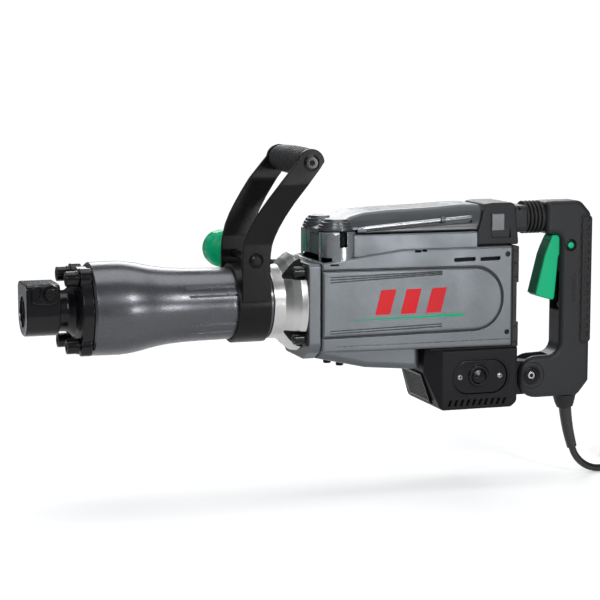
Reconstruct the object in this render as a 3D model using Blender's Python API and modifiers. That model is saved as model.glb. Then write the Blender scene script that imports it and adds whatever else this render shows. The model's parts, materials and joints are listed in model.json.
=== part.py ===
"""Electric demolition hammer with bow side handle, sprung D-handle and rubber mains lead.

Axes: +X runs from the tool nose to the rear along the hammer's own axis, +Z up, -Y is the operator's left.
The origin is the centre of the tool socket's mouth. The driving dimensions below are in millimetres;
the helpers turn them into metres.
"""
import math

import bmesh
import bpy
from mathutils import Matrix, Vector

MM = 0.001
GAP = 0.3  # clearance between neighbouring pieces

# Nose and front flange
NOSE_END = 41.0
NOSE_TOP = 35.0
NOSE_HALF = 30.0
SOCKET_BORE = 19.0
HEX_FLATS = 15.3  # half the width across the flats of the chisel shank's hexagon
NECK_R = 25.5
FLANGE_X = (62.0, 78.0)
FLANGE_R = 53.0
FLANGE_BOLT_Y = 29.0
FLANGE_BOLT_Z = 41.0
PIN_X, PIN_Z, PIN_R = 27.0, 24.5, 7.6

# Barrel, liner and gear neck
BARREL_X = (78.4, 304.0)
BARREL_SEAT_R = 44.7
LINER_R = (29.5, 33.6)
NECK_X = (304.4, 343.7)
BAND_X = (344.0, 360.2)

# Main casting
CASE_X = (360.6, 618.0)
CASE_HALF = 60.0
CASE_Z = (-62.0, 66.0)
TOP_BLOCK_X = (372.0, 573.0)
TOP_BLOCK_HALF = 53.0
TOP_BLOCK_Z = 85.4
BELLY_Z = -90.0
COVER_BOSS = (389.5, 36.0, 23.5)  # X, Y and radius of the front cover bosses

# Drive line: armature, intermediate and crank shafts stand upright, the striking parts lie along X
MOTOR_X = 574.0
STAGE_1 = (8, 36, 1.5)  # pinion teeth, wheel teeth, module
STAGE_2 = (12, 40, 2.25)
IDLER_X = MOTOR_X - STAGE_1[2] * (STAGE_1[0] + STAGE_1[1]) / 2
CRANK_X = IDLER_X - STAGE_2[2] * (STAGE_2[0] + STAGE_2[1]) / 2
CRANK_THROW = 12.0
ROD_LENGTH = 91.5
BRUSH_Z = -100.0

# Tail cover, rear bracket and D-handle
TAIL_X = (503.0, 627.5)
TAIL_Z = (-142.5, -64.4)
TAIL_HALF = 58.0
PIVOT = (665.0, -110.0)
DAMPER_Z = 97.0
HANDLE_HALF = 20.0
ARM_TOP, ARM_UNDER = 118.0, 75.0
FOOT_TOP, FOOT_UNDER = -84.0, -140.5
GRIP_X = (705.0, 748.0)
TRIGGER_PIN = (709.5, 69.0)
TRIGGER_HALF = 12.5
LOCK_XZ = (718.0, 60.0)

# Side handle
BOW_X = (258.5, 300.0)
BOW_R = (45.2, 49.6)
BOLT_XZ = (279.5, 57.5)
GRIP_XZ = (345.0, 177.0)
GRIP_HALF = 63.0
ARM_THICK = 5.0

# Mains lead: 3 m of 9.5 mm rubber cable
CORD_R = 4.75
CORD_FLOOR = -245.2  # height of the cable's centre where it lies
COIL_X, COIL_Y, COIL_MID_R, COIL_HALF = 885.0, 62.0, 52.5, 14.25
CORD_ROUTE = [
    (734.8, 0, -213.4), (737.2, 0, -222.0), (742.0, 0, -231.0), (750.0, 0, -238.6), (761.5, 0, -243.6),
    (776.0, 0, -245.2), (800.0, 0, -245.2), (825.0, 0, -245.2), (850.0, 0, -245.2),
]
CORD_END_ROUTE = [
    (900.0, 9.5, -216.3), (915.0, 9.5, -216.3), (930.0, 9.5, -216.6), (945.0, 9.5, -219.8), (960.0, 9.5, -225.8),
    (975.0, 9.5, -232.0), (990.0, 9.5, -236.2), (1002.0, 9.5, -236.6),
]
PLUG_X, PLUG_Y, PLUG_Z = 1002.5, 9.5, -236.6


# ---------------------------------------------------------------- helpers

def clear_scene():
    for item in list(bpy.data.objects):
        bpy.data.objects.remove(item, do_unlink=True)


def collection(name):
    group = bpy.data.collections.new(name)
    bpy.context.scene.collection.children.link(group)
    return group


def material(name, colour, roughness, metallic=0.0):
    mat = bpy.data.materials.new(name)
    mat.use_nodes = True
    shader = mat.node_tree.nodes["Principled BSDF"]
    shader.inputs["Base Color"].default_value = (*colour, 1.0)
    shader.inputs["Roughness"].default_value = roughness
    shader.inputs["Metallic"].default_value = metallic
    mat.diffuse_color = (*colour, 1.0)
    return mat


def add_object(name, mesh, mat, group):
    item = bpy.data.objects.new(name, mesh)
    if mat:
        mesh.materials.clear()
        mesh.materials.append(mat)
    group.objects.link(item)
    return item


def shade(mesh, angle=35):
    mesh.shade_smooth()
    mesh.set_sharp_from_angle(angle=math.radians(angle))


def bevel(item, width, segments=2, angle=40):
    mod = item.modifiers.new("edge_rounding", "BEVEL")
    mod.width = width * MM
    mod.segments = segments
    mod.limit_method = "ANGLE"
    mod.angle_limit = math.radians(angle)
    return item


def box_mesh(low, high):
    shape = bmesh.new()
    bmesh.ops.create_cube(shape, size=1.0)
    size = Vector(high) - Vector(low)
    centre = (Vector(high) + Vector(low)) / 2
    scale = Matrix.Diagonal((size.x * MM, size.y * MM, size.z * MM, 1.0))
    bmesh.ops.transform(shape, matrix=Matrix.Translation(centre * MM) @ scale, verts=shape.verts)
    mesh = bpy.data.meshes.new("box")
    shape.to_mesh(mesh)
    shape.free()
    return mesh


def turn_to(axis):
    """The rotation that takes +Z to the named axis."""
    return {
        "X": Matrix.Rotation(math.pi / 2, 4, "Y"),
        "Y": Matrix.Rotation(-math.pi / 2, 4, "X"),
        "-Y": Matrix.Rotation(math.pi / 2, 4, "X"),
        "Z": Matrix.Identity(4),
    }[axis]


def rod_mesh(start, end, axis, centre, radius, sides=24, end_radius=None, phase=0.0):
    """A cylinder or cone along an axis from start to end, about centre in the other two coordinates."""
    shape = bmesh.new()
    bmesh.ops.create_cone(shape, cap_ends=True, segments=sides, radius1=radius * MM,
                          radius2=(radius if end_radius is None else end_radius) * MM, depth=abs(end - start) * MM)
    middle = (start + end) / 2
    place = {"X": (middle, *centre), "Y": (centre[0], middle, centre[1]), "Z": (*centre, middle)}[axis]
    move = Matrix.Translation(Vector(place) * MM) @ turn_to(axis) @ Matrix.Rotation(phase, 4, "Z")
    bmesh.ops.transform(shape, matrix=move, verts=shape.verts)
    mesh = bpy.data.meshes.new("rod")
    shape.to_mesh(mesh)
    shape.free()
    shade(mesh)
    return mesh


def signed_area(points):
    following = points[1:] + points[:1]
    return sum(a[0] * b[1] - b[0] * a[1] for a, b in zip(points, following)) / 2


def turned(name, profile, axis, place, mat, group, steps=32, closed=True):
    """A turned piece: profile is (distance along the axis, radius); the axis passes through place."""
    points = [(radius, along) for along, radius in profile]
    if signed_area(points) > 0:
        points.reverse()
    shape = bmesh.new()
    verts = [shape.verts.new((radius * MM, 0, along * MM)) for radius, along in points]
    for first, second in zip(verts, verts[1:]):
        shape.edges.new((first, second))
    if closed:
        shape.edges.new((verts[-1], verts[0]))
    mesh = bpy.data.meshes.new(name)
    shape.to_mesh(mesh)
    shape.free()
    item = add_object(name, mesh, mat, group)
    item.matrix_world = Matrix.Translation(Vector(place) * MM) @ turn_to(axis)
    mod = item.modifiers.new("turning", "SCREW")
    mod.axis = "Z"
    mod.angle = math.tau
    mod.steps = steps
    mod.render_steps = steps
    mod.use_merge_vertices = True
    mod.merge_threshold = 0.00001
    mod.use_smooth_shade = True
    return item


def rounded(corners, arc_points=4):
    """An outline whose corners, given as (u, v, radius), are rounded by arcs."""
    outline = []
    count = len(corners)
    for index, (u, v, radius) in enumerate(corners):
        here = Vector((u, v))
        if radius == 0:
            outline.append((u, v))
            continue
        before = (Vector(corners[index - 1][:2]) - here).normalized()
        after = (Vector(corners[(index + 1) % count][:2]) - here).normalized()
        half = before.angle(after) / 2
        reach = radius / math.tan(half)
        centre = here + (before + after).normalized() * (radius / math.sin(half))
        start = here + before * reach - centre
        turn = start.angle_signed(here + after * reach - centre)
        for step in range(arc_points + 1):
            spoke = Matrix.Rotation(-turn * step / arc_points, 2) @ start
            outline.append(tuple(centre + spoke))
    return outline


def plate_mesh(outline, low, high, plane):
    """A flat outline in plane XZ, YZ or XY, given thickness from low to high along the third axis."""
    curve = bpy.data.curves.new("outline", "CURVE")
    curve.dimensions = "2D"
    curve.fill_mode = "BOTH"
    curve.extrude = (high - low) / 2 * MM
    spline = curve.splines.new("POLY")
    spline.points.add(len(outline) - 1)
    for point, (u, v) in zip(spline.points, outline):
        point.co = (u * MM, v * MM, 0, 1)
    spline.use_cyclic_u = True
    item = bpy.data.objects.new("outline", curve)
    bpy.context.scene.collection.objects.link(item)
    middle = (low + high) / 2 * MM
    place = {
        "XZ": Matrix.Translation((0, middle, 0)) @ Matrix.Rotation(math.pi / 2, 4, "X"),
        "YZ": Matrix.Translation((middle, 0, 0)) @ Matrix(((0, 0, 1, 0), (1, 0, 0, 0), (0, 1, 0, 0), (0, 0, 0, 1))),
        "XY": Matrix.Translation((0, 0, middle)),
    }[plane]
    graph = bpy.context.evaluated_depsgraph_get()
    mesh = bpy.data.meshes.new_from_object(item.evaluated_get(graph))
    bpy.data.objects.remove(item, do_unlink=True)
    weld(mesh, place)
    return mesh


def weld(mesh, place=None):
    shape = bmesh.new()
    shape.from_mesh(mesh)
    bmesh.ops.remove_doubles(shape, verts=shape.verts, dist=0.000001)
    if place is not None:
        bmesh.ops.transform(shape, matrix=place, verts=shape.verts)
    bmesh.ops.recalc_face_normals(shape, faces=shape.faces)
    shape.to_mesh(mesh)
    shape.free()


def tube_mesh(points, radii, resolution=2):
    """A tube along points in millimetres, with a radius for each point and closed ends."""
    curve = bpy.data.curves.new("tube", "CURVE")
    curve.dimensions = "3D"
    curve.bevel_depth = MM
    curve.bevel_resolution = resolution
    curve.use_fill_caps = True
    spline = curve.splines.new("POLY")
    spline.points.add(len(points) - 1)
    for knot, point, radius in zip(spline.points, points, radii):
        knot.co = (*(Vector(point) * MM), 1)
        knot.radius = radius
    item = bpy.data.objects.new("tube", curve)
    bpy.context.scene.collection.objects.link(item)
    graph = bpy.context.evaluated_depsgraph_get()
    mesh = bpy.data.meshes.new_from_object(item.evaluated_get(graph))
    bpy.data.objects.remove(item, do_unlink=True)
    weld(mesh)
    shade(mesh, 50)
    return mesh


def smooth_route(points, per_span):
    """Points on a Catmull-Rom curve through the route's own points."""
    ends = [Vector(points[0]) * 2 - Vector(points[1]), *map(Vector, points), Vector(points[-1]) * 2 - Vector(points[-2])]
    route = []
    for a, b, c, d in zip(ends, ends[1:], ends[2:], ends[3:]):
        for step in range(per_span):
            t = step / per_span
            route.append(0.5 * (2 * b + (c - a) * t + (2 * a - 5 * b + 4 * c - d) * t * t
                                + (3 * b - a - 3 * c + d) * t ** 3))
    route.append(ends[-2])
    return route


class Bench:
    """Keeps the part's collections and does the joining and cutting."""

    def __init__(self):
        self.parts = collection("demolition_hammer")
        self.cutters = collection("cutters")

    def solid(self, name, mesh, mat, rounding=0.0, segments=2):
        mesh.name = name
        item = add_object(name, mesh, mat, self.parts)
        if rounding:
            bevel(item, rounding, segments)
        return item

    def tool(self, mesh, operation, item, rounding=0.0):
        cutter = add_object(f"{item.name}_{operation.lower()}_{len(item.modifiers)}", mesh, None, self.cutters)
        cutter.hide_render = True
        cutter.display_type = "WIRE"
        if rounding:
            bevel(cutter, rounding)
        mod = item.modifiers.new(operation.lower(), "BOOLEAN")
        mod.operation = operation
        mod.object = cutter
        mod.solver = "EXACT"
        return cutter

    def cut(self, item, *meshes):
        for mesh in meshes:
            self.tool(mesh, "DIFFERENCE", item)
        return item

    def join(self, item, *meshes, rounding=0.0):
        for mesh in meshes:
            self.tool(mesh, "UNION", item, rounding)
        return item

    def turned(self, name, profile, axis, place, mat, steps=32, closed=True):
        return turned(name, profile, axis, place, mat, self.parts, steps, closed)


def set_origin(item, point):
    """Moves an unrotated object's origin to a point in millimetres without moving its shape."""
    offset = Vector(point) * MM
    item.data.transform(Matrix.Translation(-offset))
    item.location = item.location + offset


def gear_outline(teeth, module, phase, centre):
    pitch_r = teeth * module / 2
    tooth = ((pitch_r - 1.05 * module, -0.28), (pitch_r + 0.75 * module, -0.13),
             (pitch_r + 0.75 * module, 0.13), (pitch_r - 1.05 * module, 0.28))
    outline = []
    for index in range(teeth):
        for radius, share in tooth:
            angle = phase + math.tau * (index + share) / teeth
            outline.append((centre[0] + radius * math.cos(angle), centre[1] + radius * math.sin(angle)))
    return outline


# ---------------------------------------------------------------- materials

def make_materials():
    return {
        "black_steel": material("black_steel", (0.012, 0.012, 0.013), 0.35, 0.6),
        "gunmetal": material("gunmetal_paint", (0.11, 0.115, 0.125), 0.35, 0.7),
        "cast_grey": material("cast_grey_paint", (0.24, 0.25, 0.27), 0.42, 0.6),
        "dark_grey": material("dark_grey_paint", (0.10, 0.105, 0.115), 0.38, 0.6),
        "aluminium": material("bare_aluminium", (0.62, 0.61, 0.59), 0.30, 1.0),
        "charcoal": material("charcoal_plastic", (0.030, 0.031, 0.034), 0.50),
        "black_plastic": material("black_plastic", (0.012, 0.012, 0.013), 0.32),
        "rubber": material("black_rubber", (0.020, 0.020, 0.021), 0.65),
        "green": material("green_plastic", (0.0, 0.36, 0.17), 0.35),
        "steel": material("ground_steel", (0.45, 0.45, 0.46), 0.28, 1.0),
        "copper": material("copper_winding", (0.55, 0.24, 0.10), 0.40, 0.8),
        "carbon": material("brush_carbon", (0.03, 0.03, 0.03), 0.8),
        "cable": material("cable_rubber", (0.010, 0.010, 0.011), 0.30),
    }


# ---------------------------------------------------------------- nose and barrel

def make_nose(bench, mats):
    block = rounded([(-NOSE_HALF, NOSE_TOP, 7), (-NOSE_HALF, -NOSE_HALF, NOSE_HALF - 2),
                     (NOSE_HALF, -NOSE_HALF, NOSE_HALF - 2), (NOSE_HALF, NOSE_TOP, 7)], 6)
    nose = bench.solid("tool_retainer", plate_mesh(block, 0, NOSE_END, "YZ"), mats["black_steel"])
    bevel(nose, 1.6, 1, 60)
    bench.join(nose, rod_mesh(NOSE_END - 6, FLANGE_X[1] - 4, "X", (0, -2), NECK_R, 32))
    bench.join(nose, rod_mesh(FLANGE_X[0] - 8, FLANGE_X[0] + 4, "X", (0, -1), NECK_R, 32, 40))
    bench.join(nose, rod_mesh(FLANGE_X[0] + 2, FLANGE_X[1], "X", (0, 0), FLANGE_R, 40))
    for side in (-1, 1):
        for height in (-1, 1):
            lobe = (side * FLANGE_BOLT_Y, height * FLANGE_BOLT_Z)
            bench.join(nose, rod_mesh(FLANGE_X[0] + 1.5, FLANGE_X[1] - 0.8, "X", lobe, 12.5, 20))
    boss = rounded([(6, 13, 4), (6, 34, 4), (NOSE_END - 2, 34, 4), (NOSE_END - 2, 9, 12)], 3)
    bench.join(nose, plate_mesh(boss, -36, -20, "XZ"))
    bench.cut(nose, rod_mesh(-1, 92, "X", (0, 0), SOCKET_BORE, 32))
    bench.cut(nose, rod_mesh(-60, 60, "Y", (PIN_X, PIN_Z), PIN_R + GAP, 24))
    for side in (-1, 1):
        for height in (-1, 1):
            hole = (side * FLANGE_BOLT_Y, height * FLANGE_BOLT_Z)
            bench.cut(nose, rod_mesh(50, 90, "X", hole, 5.4, 16))
    sleeve = bench.solid("hex_bushing", rod_mesh(2.0, 76.0, "X", (0, 0), SOCKET_BORE - GAP, 32), mats["steel"])
    bench.cut(sleeve, rod_mesh(-1, 90, "X", (0, 0), HEX_FLATS / math.cos(math.pi / 6), 6, phase=math.pi / 6))
    bench.cut(sleeve, rod_mesh(-60, 60, "Y", (PIN_X, PIN_Z), PIN_R + GAP, 24))


def make_retainer_pin(bench, mats):
    """The half-round pin that holds the chisel: half a turn clears its flat from the shank's notch."""
    profile = [(-34, 0), (-34, PIN_R), (40, PIN_R), (42.5, PIN_R - 2.5), (42.5, 0)]
    pin = bench.turned("retainer_pin", profile, "-Y", (PIN_X, 0, PIN_Z), mats["black_steel"], 24, closed=False)
    flat = box_mesh((PIN_X - 12, -13, PIN_Z - 12), (PIN_X + 12, 13, PIN_Z - 1.5))
    bench.cut(pin, flat)


def make_flange_bolts(bench, mats):
    for index in range(4):
        side = (-1, 1)[index % 2]
        height = (1, -1)[index // 2]
        place = (0, side * FLANGE_BOLT_Y, height * FLANGE_BOLT_Z)
        head, seat = 47.0, FLANGE_X[0] - 0.2
        profile = [(head, 0), (head, 8.2), (head + 0.8, 9), (seat - 2.6, 9), (seat - 2.6, 9.6), (seat, 9.6),
                   (seat, 5), (96, 5), (98, 3.4), (98, 0)]
        bolt = bench.turned(f"flange_bolt_{index + 1}", profile, "X", place, mats["black_steel"], 16, closed=False)
        bench.cut(bolt, rod_mesh(head - 2, head + 6, "X", place[1:], 5.6, 6))


def make_barrel(bench, mats):
    front, rear = BARREL_X
    outer = [(front, 54.5), (front + 2.5, 57), (front + 32, 57.6), (front + 46, 57.0), (front + 62, 54.2),
             (front + 80, 50.2), (front + 98, 47.2), (front + 118, 45.6), (front + 140, 45.0), (250, 44.8),
             (256, 44.5), (rear, 44.5)]
    inner = [(rear, 34.0), (150, 34.0), (148, 15.4), (100, 15.4), (98, 38), (front, 38)]
    barrel = bench.turned("barrel", outer + inner, "X", (0, 0, 0), mats["gunmetal"], 40)
    for side in (-1, 1):
        for height in (-1, 1):
            hole = (side * FLANGE_BOLT_Y, height * FLANGE_BOLT_Z)
            bench.cut(barrel, rod_mesh(60, 99.5, "X", hole, 5.4, 16))


def make_striking_parts(bench, mats):
    liner = [(152, LINER_R[0]), (152, LINER_R[1]), (418, LINER_R[1]), (418, LINER_R[0])]
    bench.turned("cylinder_liner", liner, "X", (0, 0, 0), mats["steel"], 32)
    anvil = [(84, 0), (84, 12), (92, 15), (170, 15), (170, 26), (184, 26), (184, 16), (222, 16), (224, 14), (224, 0)]
    bench.turned("anvil", anvil, "X", (0, 0, 0), mats["steel"], 32, closed=False)
    ram = [(232, 0), (232, 26), (235, 29.1), (287, 29.1), (287, 0)]
    bench.turned("ram", ram, "X", (0, 0, 0), mats["steel"], 32, closed=False)
    piston = bench.solid("piston", rod_mesh(330, 405, "X", (0, 0), 29.1, 32), mats["steel"])
    bench.cut(piston, box_mesh((341, -20, -9.5), (420, 20, 9.5)))


def make_crank(bench, mats):
    pin_x = CRANK_X - CRANK_THROW
    shaft = bench.solid("crankshaft", rod_mesh(12, 25, "Z", (CRANK_X, 0), 25, 32), mats["steel"])
    bench.join(shaft, rod_mesh(20, 80, "Z", (CRANK_X, 0), 11, 24))
    bench.join(shaft, rod_mesh(-8, 16, "Z", (pin_x, 0), 8, 24))
    rod_start = pin_x - ROD_LENGTH
    shank = rounded([(rod_start, 6, 0), (pin_x, 8, 0), (pin_x, -8, 0), (rod_start, -6, 0)])
    rod = bench.solid("connecting_rod", plate_mesh(shank, -7, 7, "XY"), mats["steel"])
    bench.join(rod, rod_mesh(-7.2, 7.2, "Z", (pin_x, 0), 14, 24))
    bench.join(rod, rod_mesh(-7.4, 7.4, "Z", (rod_start, 0), 7.0, 16))
    bench.cut(rod, rod_mesh(-20, 20, "Z", (pin_x, 0), 8.5, 24))
    pinion, wheel, module = STAGE_2
    gear_mesh = plate_mesh(gear_outline(wheel, module, math.pi / wheel, (CRANK_X, 0)), 30, 40, "XY")
    gear = bench.solid("crank_gear", gear_mesh, mats["steel"])
    bench.cut(gear, rod_mesh(26, 50, "Z", (CRANK_X, 0), 11 + GAP, 24))
    idler = bench.solid("intermediate_gear", rod_mesh(22, 56, "Z", (IDLER_X, 0), 7, 20), mats["steel"])
    bench.join(idler, plate_mesh(gear_outline(pinion, module, 0, (IDLER_X, 0)), 28, 43, "XY"))
    first, second, fine = STAGE_1
    bench.join(idler, plate_mesh(gear_outline(second, fine, math.pi / second, (IDLER_X, 0)), 42.5, 51.5, "XY"))
    for item, centre in ((shaft, CRANK_X), (gear, CRANK_X), (idler, IDLER_X)):
        set_origin(item, (centre, 0, 0))
    set_origin(rod, (pin_x, 0, 0))


def make_motor(bench, mats):
    profile = [(-132, 0), (-132, 6), (-116, 8), (-112, 8), (-112, 17), (-88, 17), (-88, 9), (-76, 9), (-74, 27),
               (-12, 27), (-10, 9), (40, 9), (42, 4), (45, 4), (45, 0)]
    armature = bench.turned("armature", profile, "Z", (MOTOR_X, 0, 0), mats["copper"], 24, closed=False)
    teeth = plate_mesh(gear_outline(STAGE_1[0], STAGE_1[2], 0, (MOTOR_X, 0)), 42, 54, "XY")
    bench.join(armature, teeth)
    fan = bench.solid("cooling_fan", rod_mesh(-4, -1, "Z", (MOTOR_X, 0), 36, 24), mats["black_plastic"])
    for index in range(8):
        blade = box_mesh((13, -1.2, -2), (34, 1.2, 12))
        turn = Matrix.Translation((MOTOR_X * MM, 0, 0)) @ Matrix.Rotation(math.tau * index / 8, 4, "Z")
        blade.transform(turn)
        bench.join(fan, blade)
    bench.cut(fan, rod_mesh(-10, 20, "Z", (MOTOR_X, 0), 9 + GAP, 24))
    stator = [(-76, 28.5), (-76, 39), (-10, 39), (-10, 28.5)]
    bench.turned("stator", stator, "Z", (MOTOR_X, 0, 0), mats["copper"], 32)
    for side, label in ((-1, "left"), (1, "right")):
        edges = sorted((side * 17.6, side * 49.0))
        brush = box_mesh((MOTOR_X - 4, edges[0], BRUSH_Z - 6), (MOTOR_X + 4, edges[1], BRUSH_Z + 6))
        bench.solid(f"carbon_brush_{label}", brush, mats["carbon"])


# ---------------------------------------------------------------- casings

def make_gear_neck(bench, mats):
    start, end = NECK_X
    outer = [(start, 43.5), (start + 1.2, 46.2), (start + 15, 46.8), (start + 17, 48.0), (start + 24, 53.0),
             (start + 31, 58.5), (end, 62.0)]
    neck = bench.turned("gear_neck", outer + [(end, 34), (start, 34)], "X", (0, 0, 0), mats["aluminium"], 40)
    for index, (side, height) in enumerate(((-1, 1), (1, 1), (-1, -1), (1, -1))):
        place = (side * 47.0, height * (41.0 if height > 0 else 42.0))
        bench.cut(neck, rod_mesh(NECK_X[0] + 14, end + 5, "X", place, 11.5, 24))
        profile = [(end - 16, 0), (end - 16, 6), (end - 15, 7), (end - 0.4, 7), (end - 0.4, 0)]
        bolt = bench.turned(f"neck_bolt_{index + 1}", profile, "X", (0, *place), mats["black_steel"], 16, closed=False)
        bench.cut(bolt, rod_mesh(end - 18, end - 11, "X", place, 4.0, 6))


def band_outline(half, top, low_side, low_mid):
    return rounded([(-half, top, 5), (-half, low_side, 14), (-34, low_mid, 12), (34, low_mid, 12),
                    (half, low_side, 14), (half, top, 5)], 4)


def make_casings(bench, mats):
    outline = band_outline(CASE_HALF, 52, -56, -70)
    band = bench.solid("front_frame", plate_mesh(outline, *BAND_X, "YZ"), mats["cast_grey"])
    bevel(band, 1.2, 1, 60)
    bench.cut(band, rod_mesh(330, 370, "X", (0, 0), 34, 32))

    side = rounded([(CASE_X[0], 52, 3), (TOP_BLOCK_X[0] + 20, 56, 0), (470, 66, 0), (CASE_X[1], 66, 3),
                    (CASE_X[1], -62, 3), (CASE_X[0], -60, 3)], 2)
    case = bench.solid("main_housing", plate_mesh(side, -CASE_HALF, CASE_HALF, "XZ"), mats["cast_grey"])
    bevel(case, 3.0, 2, 60)
    belly = rounded([(CASE_X[0], -50, 0), (CASE_X[0], -70, 0), (428, -85, 20), (486, BELLY_Z, 10), (500, BELLY_Z, 3),
                     (500, -50, 0)], 3)
    bench.join(case, plate_mesh(belly, -40, 40, "XZ"), rounding=8)
    block = rounded([(TOP_BLOCK_X[0], 45, 0), (TOP_BLOCK_X[0], TOP_BLOCK_Z, 2), (TOP_BLOCK_X[1], TOP_BLOCK_Z, 2),
                     (TOP_BLOCK_X[1], 45, 0)], 2)
    bench.join(case, plate_mesh(block, -TOP_BLOCK_HALF, TOP_BLOCK_HALF, "XZ"))
    boss_x, boss_y, boss_r = COVER_BOSS
    for turn in (-1, 1):
        bench.join(case, rod_mesh(50, TOP_BLOCK_Z - 1.0, "Z", (boss_x, turn * boss_y), boss_r, 28))
        pod = rounded([(CASE_X[0] + 0.1, 42.5, 0), (CASE_X[0] + 0.1, -40.5, 0), (603, -38.5, 38.5), (603, 40.5, 38.5)], 6)
        low, high = sorted((turn * (CASE_HALF - 2), turn * (CASE_HALF + 2.6)))
        bench.join(case, plate_mesh(pod, low, high, "XZ"))
    bench.cut(case, box_mesh((366.5, -55, -57), (614.5, 55, 58)))
    bench.cut(case, box_mesh((418, -48, 50), (565, 48, 95)))
    bench.cut(case, box_mesh((532, -50, -75), (614.5, 50, -50)))
    bench.cut(case, box_mesh((372, -32, -66), (492, 32, -50)))
    bench.cut(case, rod_mesh(350, 380, "X", (0, 0), 34, 32))
    for turn in (-1, 1):
        low, high = sorted((turn * 50, turn * 70))
        for start, end in ((537, 566), (573, 600)):
            bench.cut(case, box_mesh((start, low, 47.5), (end, high, 53.5)))
        bench.cut(case, rod_mesh(71, 95, "Z", (boss_x, turn * 54), 5.2, 20))
        bench.cut(case, rod_mesh(60, 80, "Z", (boss_x, turn * 54), 3.4, 16))
    for x, depth in ((388, -80), (405, -84)):
        bench.cut(case, rod_mesh(depth - 6, -60, "Z", (x, 0), 3.4, 16))

    roof = rounded([(368, TOP_BLOCK_Z + GAP, 0), (369, 91, 2), (381, 95, 0), (384, 99, 0), (398, 103, 0),
                    (402, 107, 0), (424, 111, 6), (455, 113.5, 0), (515, 115.5, 0), (556, 118.4, 4),
                    (589.5, 118, 4), (573.4, TOP_BLOCK_Z + GAP, 0)], 2)
    cover = bench.solid("top_cover", plate_mesh(roof, -47, 47, "XZ"), mats["dark_grey"])
    for vert in cover.data.vertices:
        height = vert.co.z / MM
        vert.co.y *= 1 - 0.34 * max(0.0, min(1.0, (height - 94) / 24))
    bench.cut(cover, box_mesh((424, -28, 70), (562, 28, 103)))
    for turn in (-1, 1):
        bench.cut(cover, rod_mesh(60, 130, "Z", (boss_x, turn * 54), 9.5, 20))
    for index, turn in enumerate((-1, 1)):
        profile = [(62, 0), (62, 3), (74, 3), (74, 4.7), (83.5, 4.7), (83.5, 0)]
        screw = bench.turned(f"cover_screw_{index + 1}", profile, "Z", (boss_x, turn * 54, 0), mats["black_steel"],
                             16, closed=False)
        bench.cut(screw, rod_mesh(80, 90, "Z", (boss_x, turn * 54), 2.8, 6))
    for index, (x, depth) in enumerate(((388, -77.5), (405, -81.5))):
        profile = [(depth - 4.5, 0), (depth - 4.5, 4.4), (depth - 4, 5), (depth, 5), (depth, 3), (-68, 3), (-68, 0)]
        bench.turned(f"belly_bolt_{index + 1}", profile, "Z", (x, 0, 0), mats["black_steel"], 16, closed=False)


def make_rear(bench, mats):
    panel = bench.solid("rear_plate", box_mesh((CASE_X[1] + GAP, -57.5, -63.9), (627.6, 57.5, 65.6)), mats["charcoal"], 1.5)
    bench.cut(panel, box_mesh((624.5, -70, -32), (640, 70, 19)))
    outline = rounded([(573.6, 66.4, 0), (574.0, 84.5, 0), (590.8, 118.6, 0), (600, 119.6, 2), (631.8, 119.6, 6),
                       (631.8, 66.4, 2)], 3)
    bracket = bench.solid("handle_bracket", plate_mesh(outline, -46, 46, "XZ"), mats["charcoal"])
    for vert in bracket.data.vertices:
        height = vert.co.z / MM
        vert.co.y *= 1 - 0.26 * max(0.0, min(1.0, (height - 84) / 34))
    bevel(bracket, 2.0, 2, 40)
    for turn in (-1, 1):
        low, high = sorted((turn * 41.5, turn * 60))
        bench.cut(bracket, box_mesh((594, low, 75), (621, high, 106)))
    bench.cut(bracket, rod_mesh(600, 640, "X", (0, DAMPER_Z), 9.8, 24))
    collar_shape = rounded([(-26, 79, 6), (-26, 114, 6), (26, 114, 6), (26, 79, 6)], 3)
    collar = bench.solid("damper_collar", plate_mesh(collar_shape, 632.1, 653.0, "YZ"), mats["charcoal"], 0.8)
    bench.cut(collar, rod_mesh(600, 660, "X", (0, DAMPER_Z), 9.8, 24))


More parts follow.
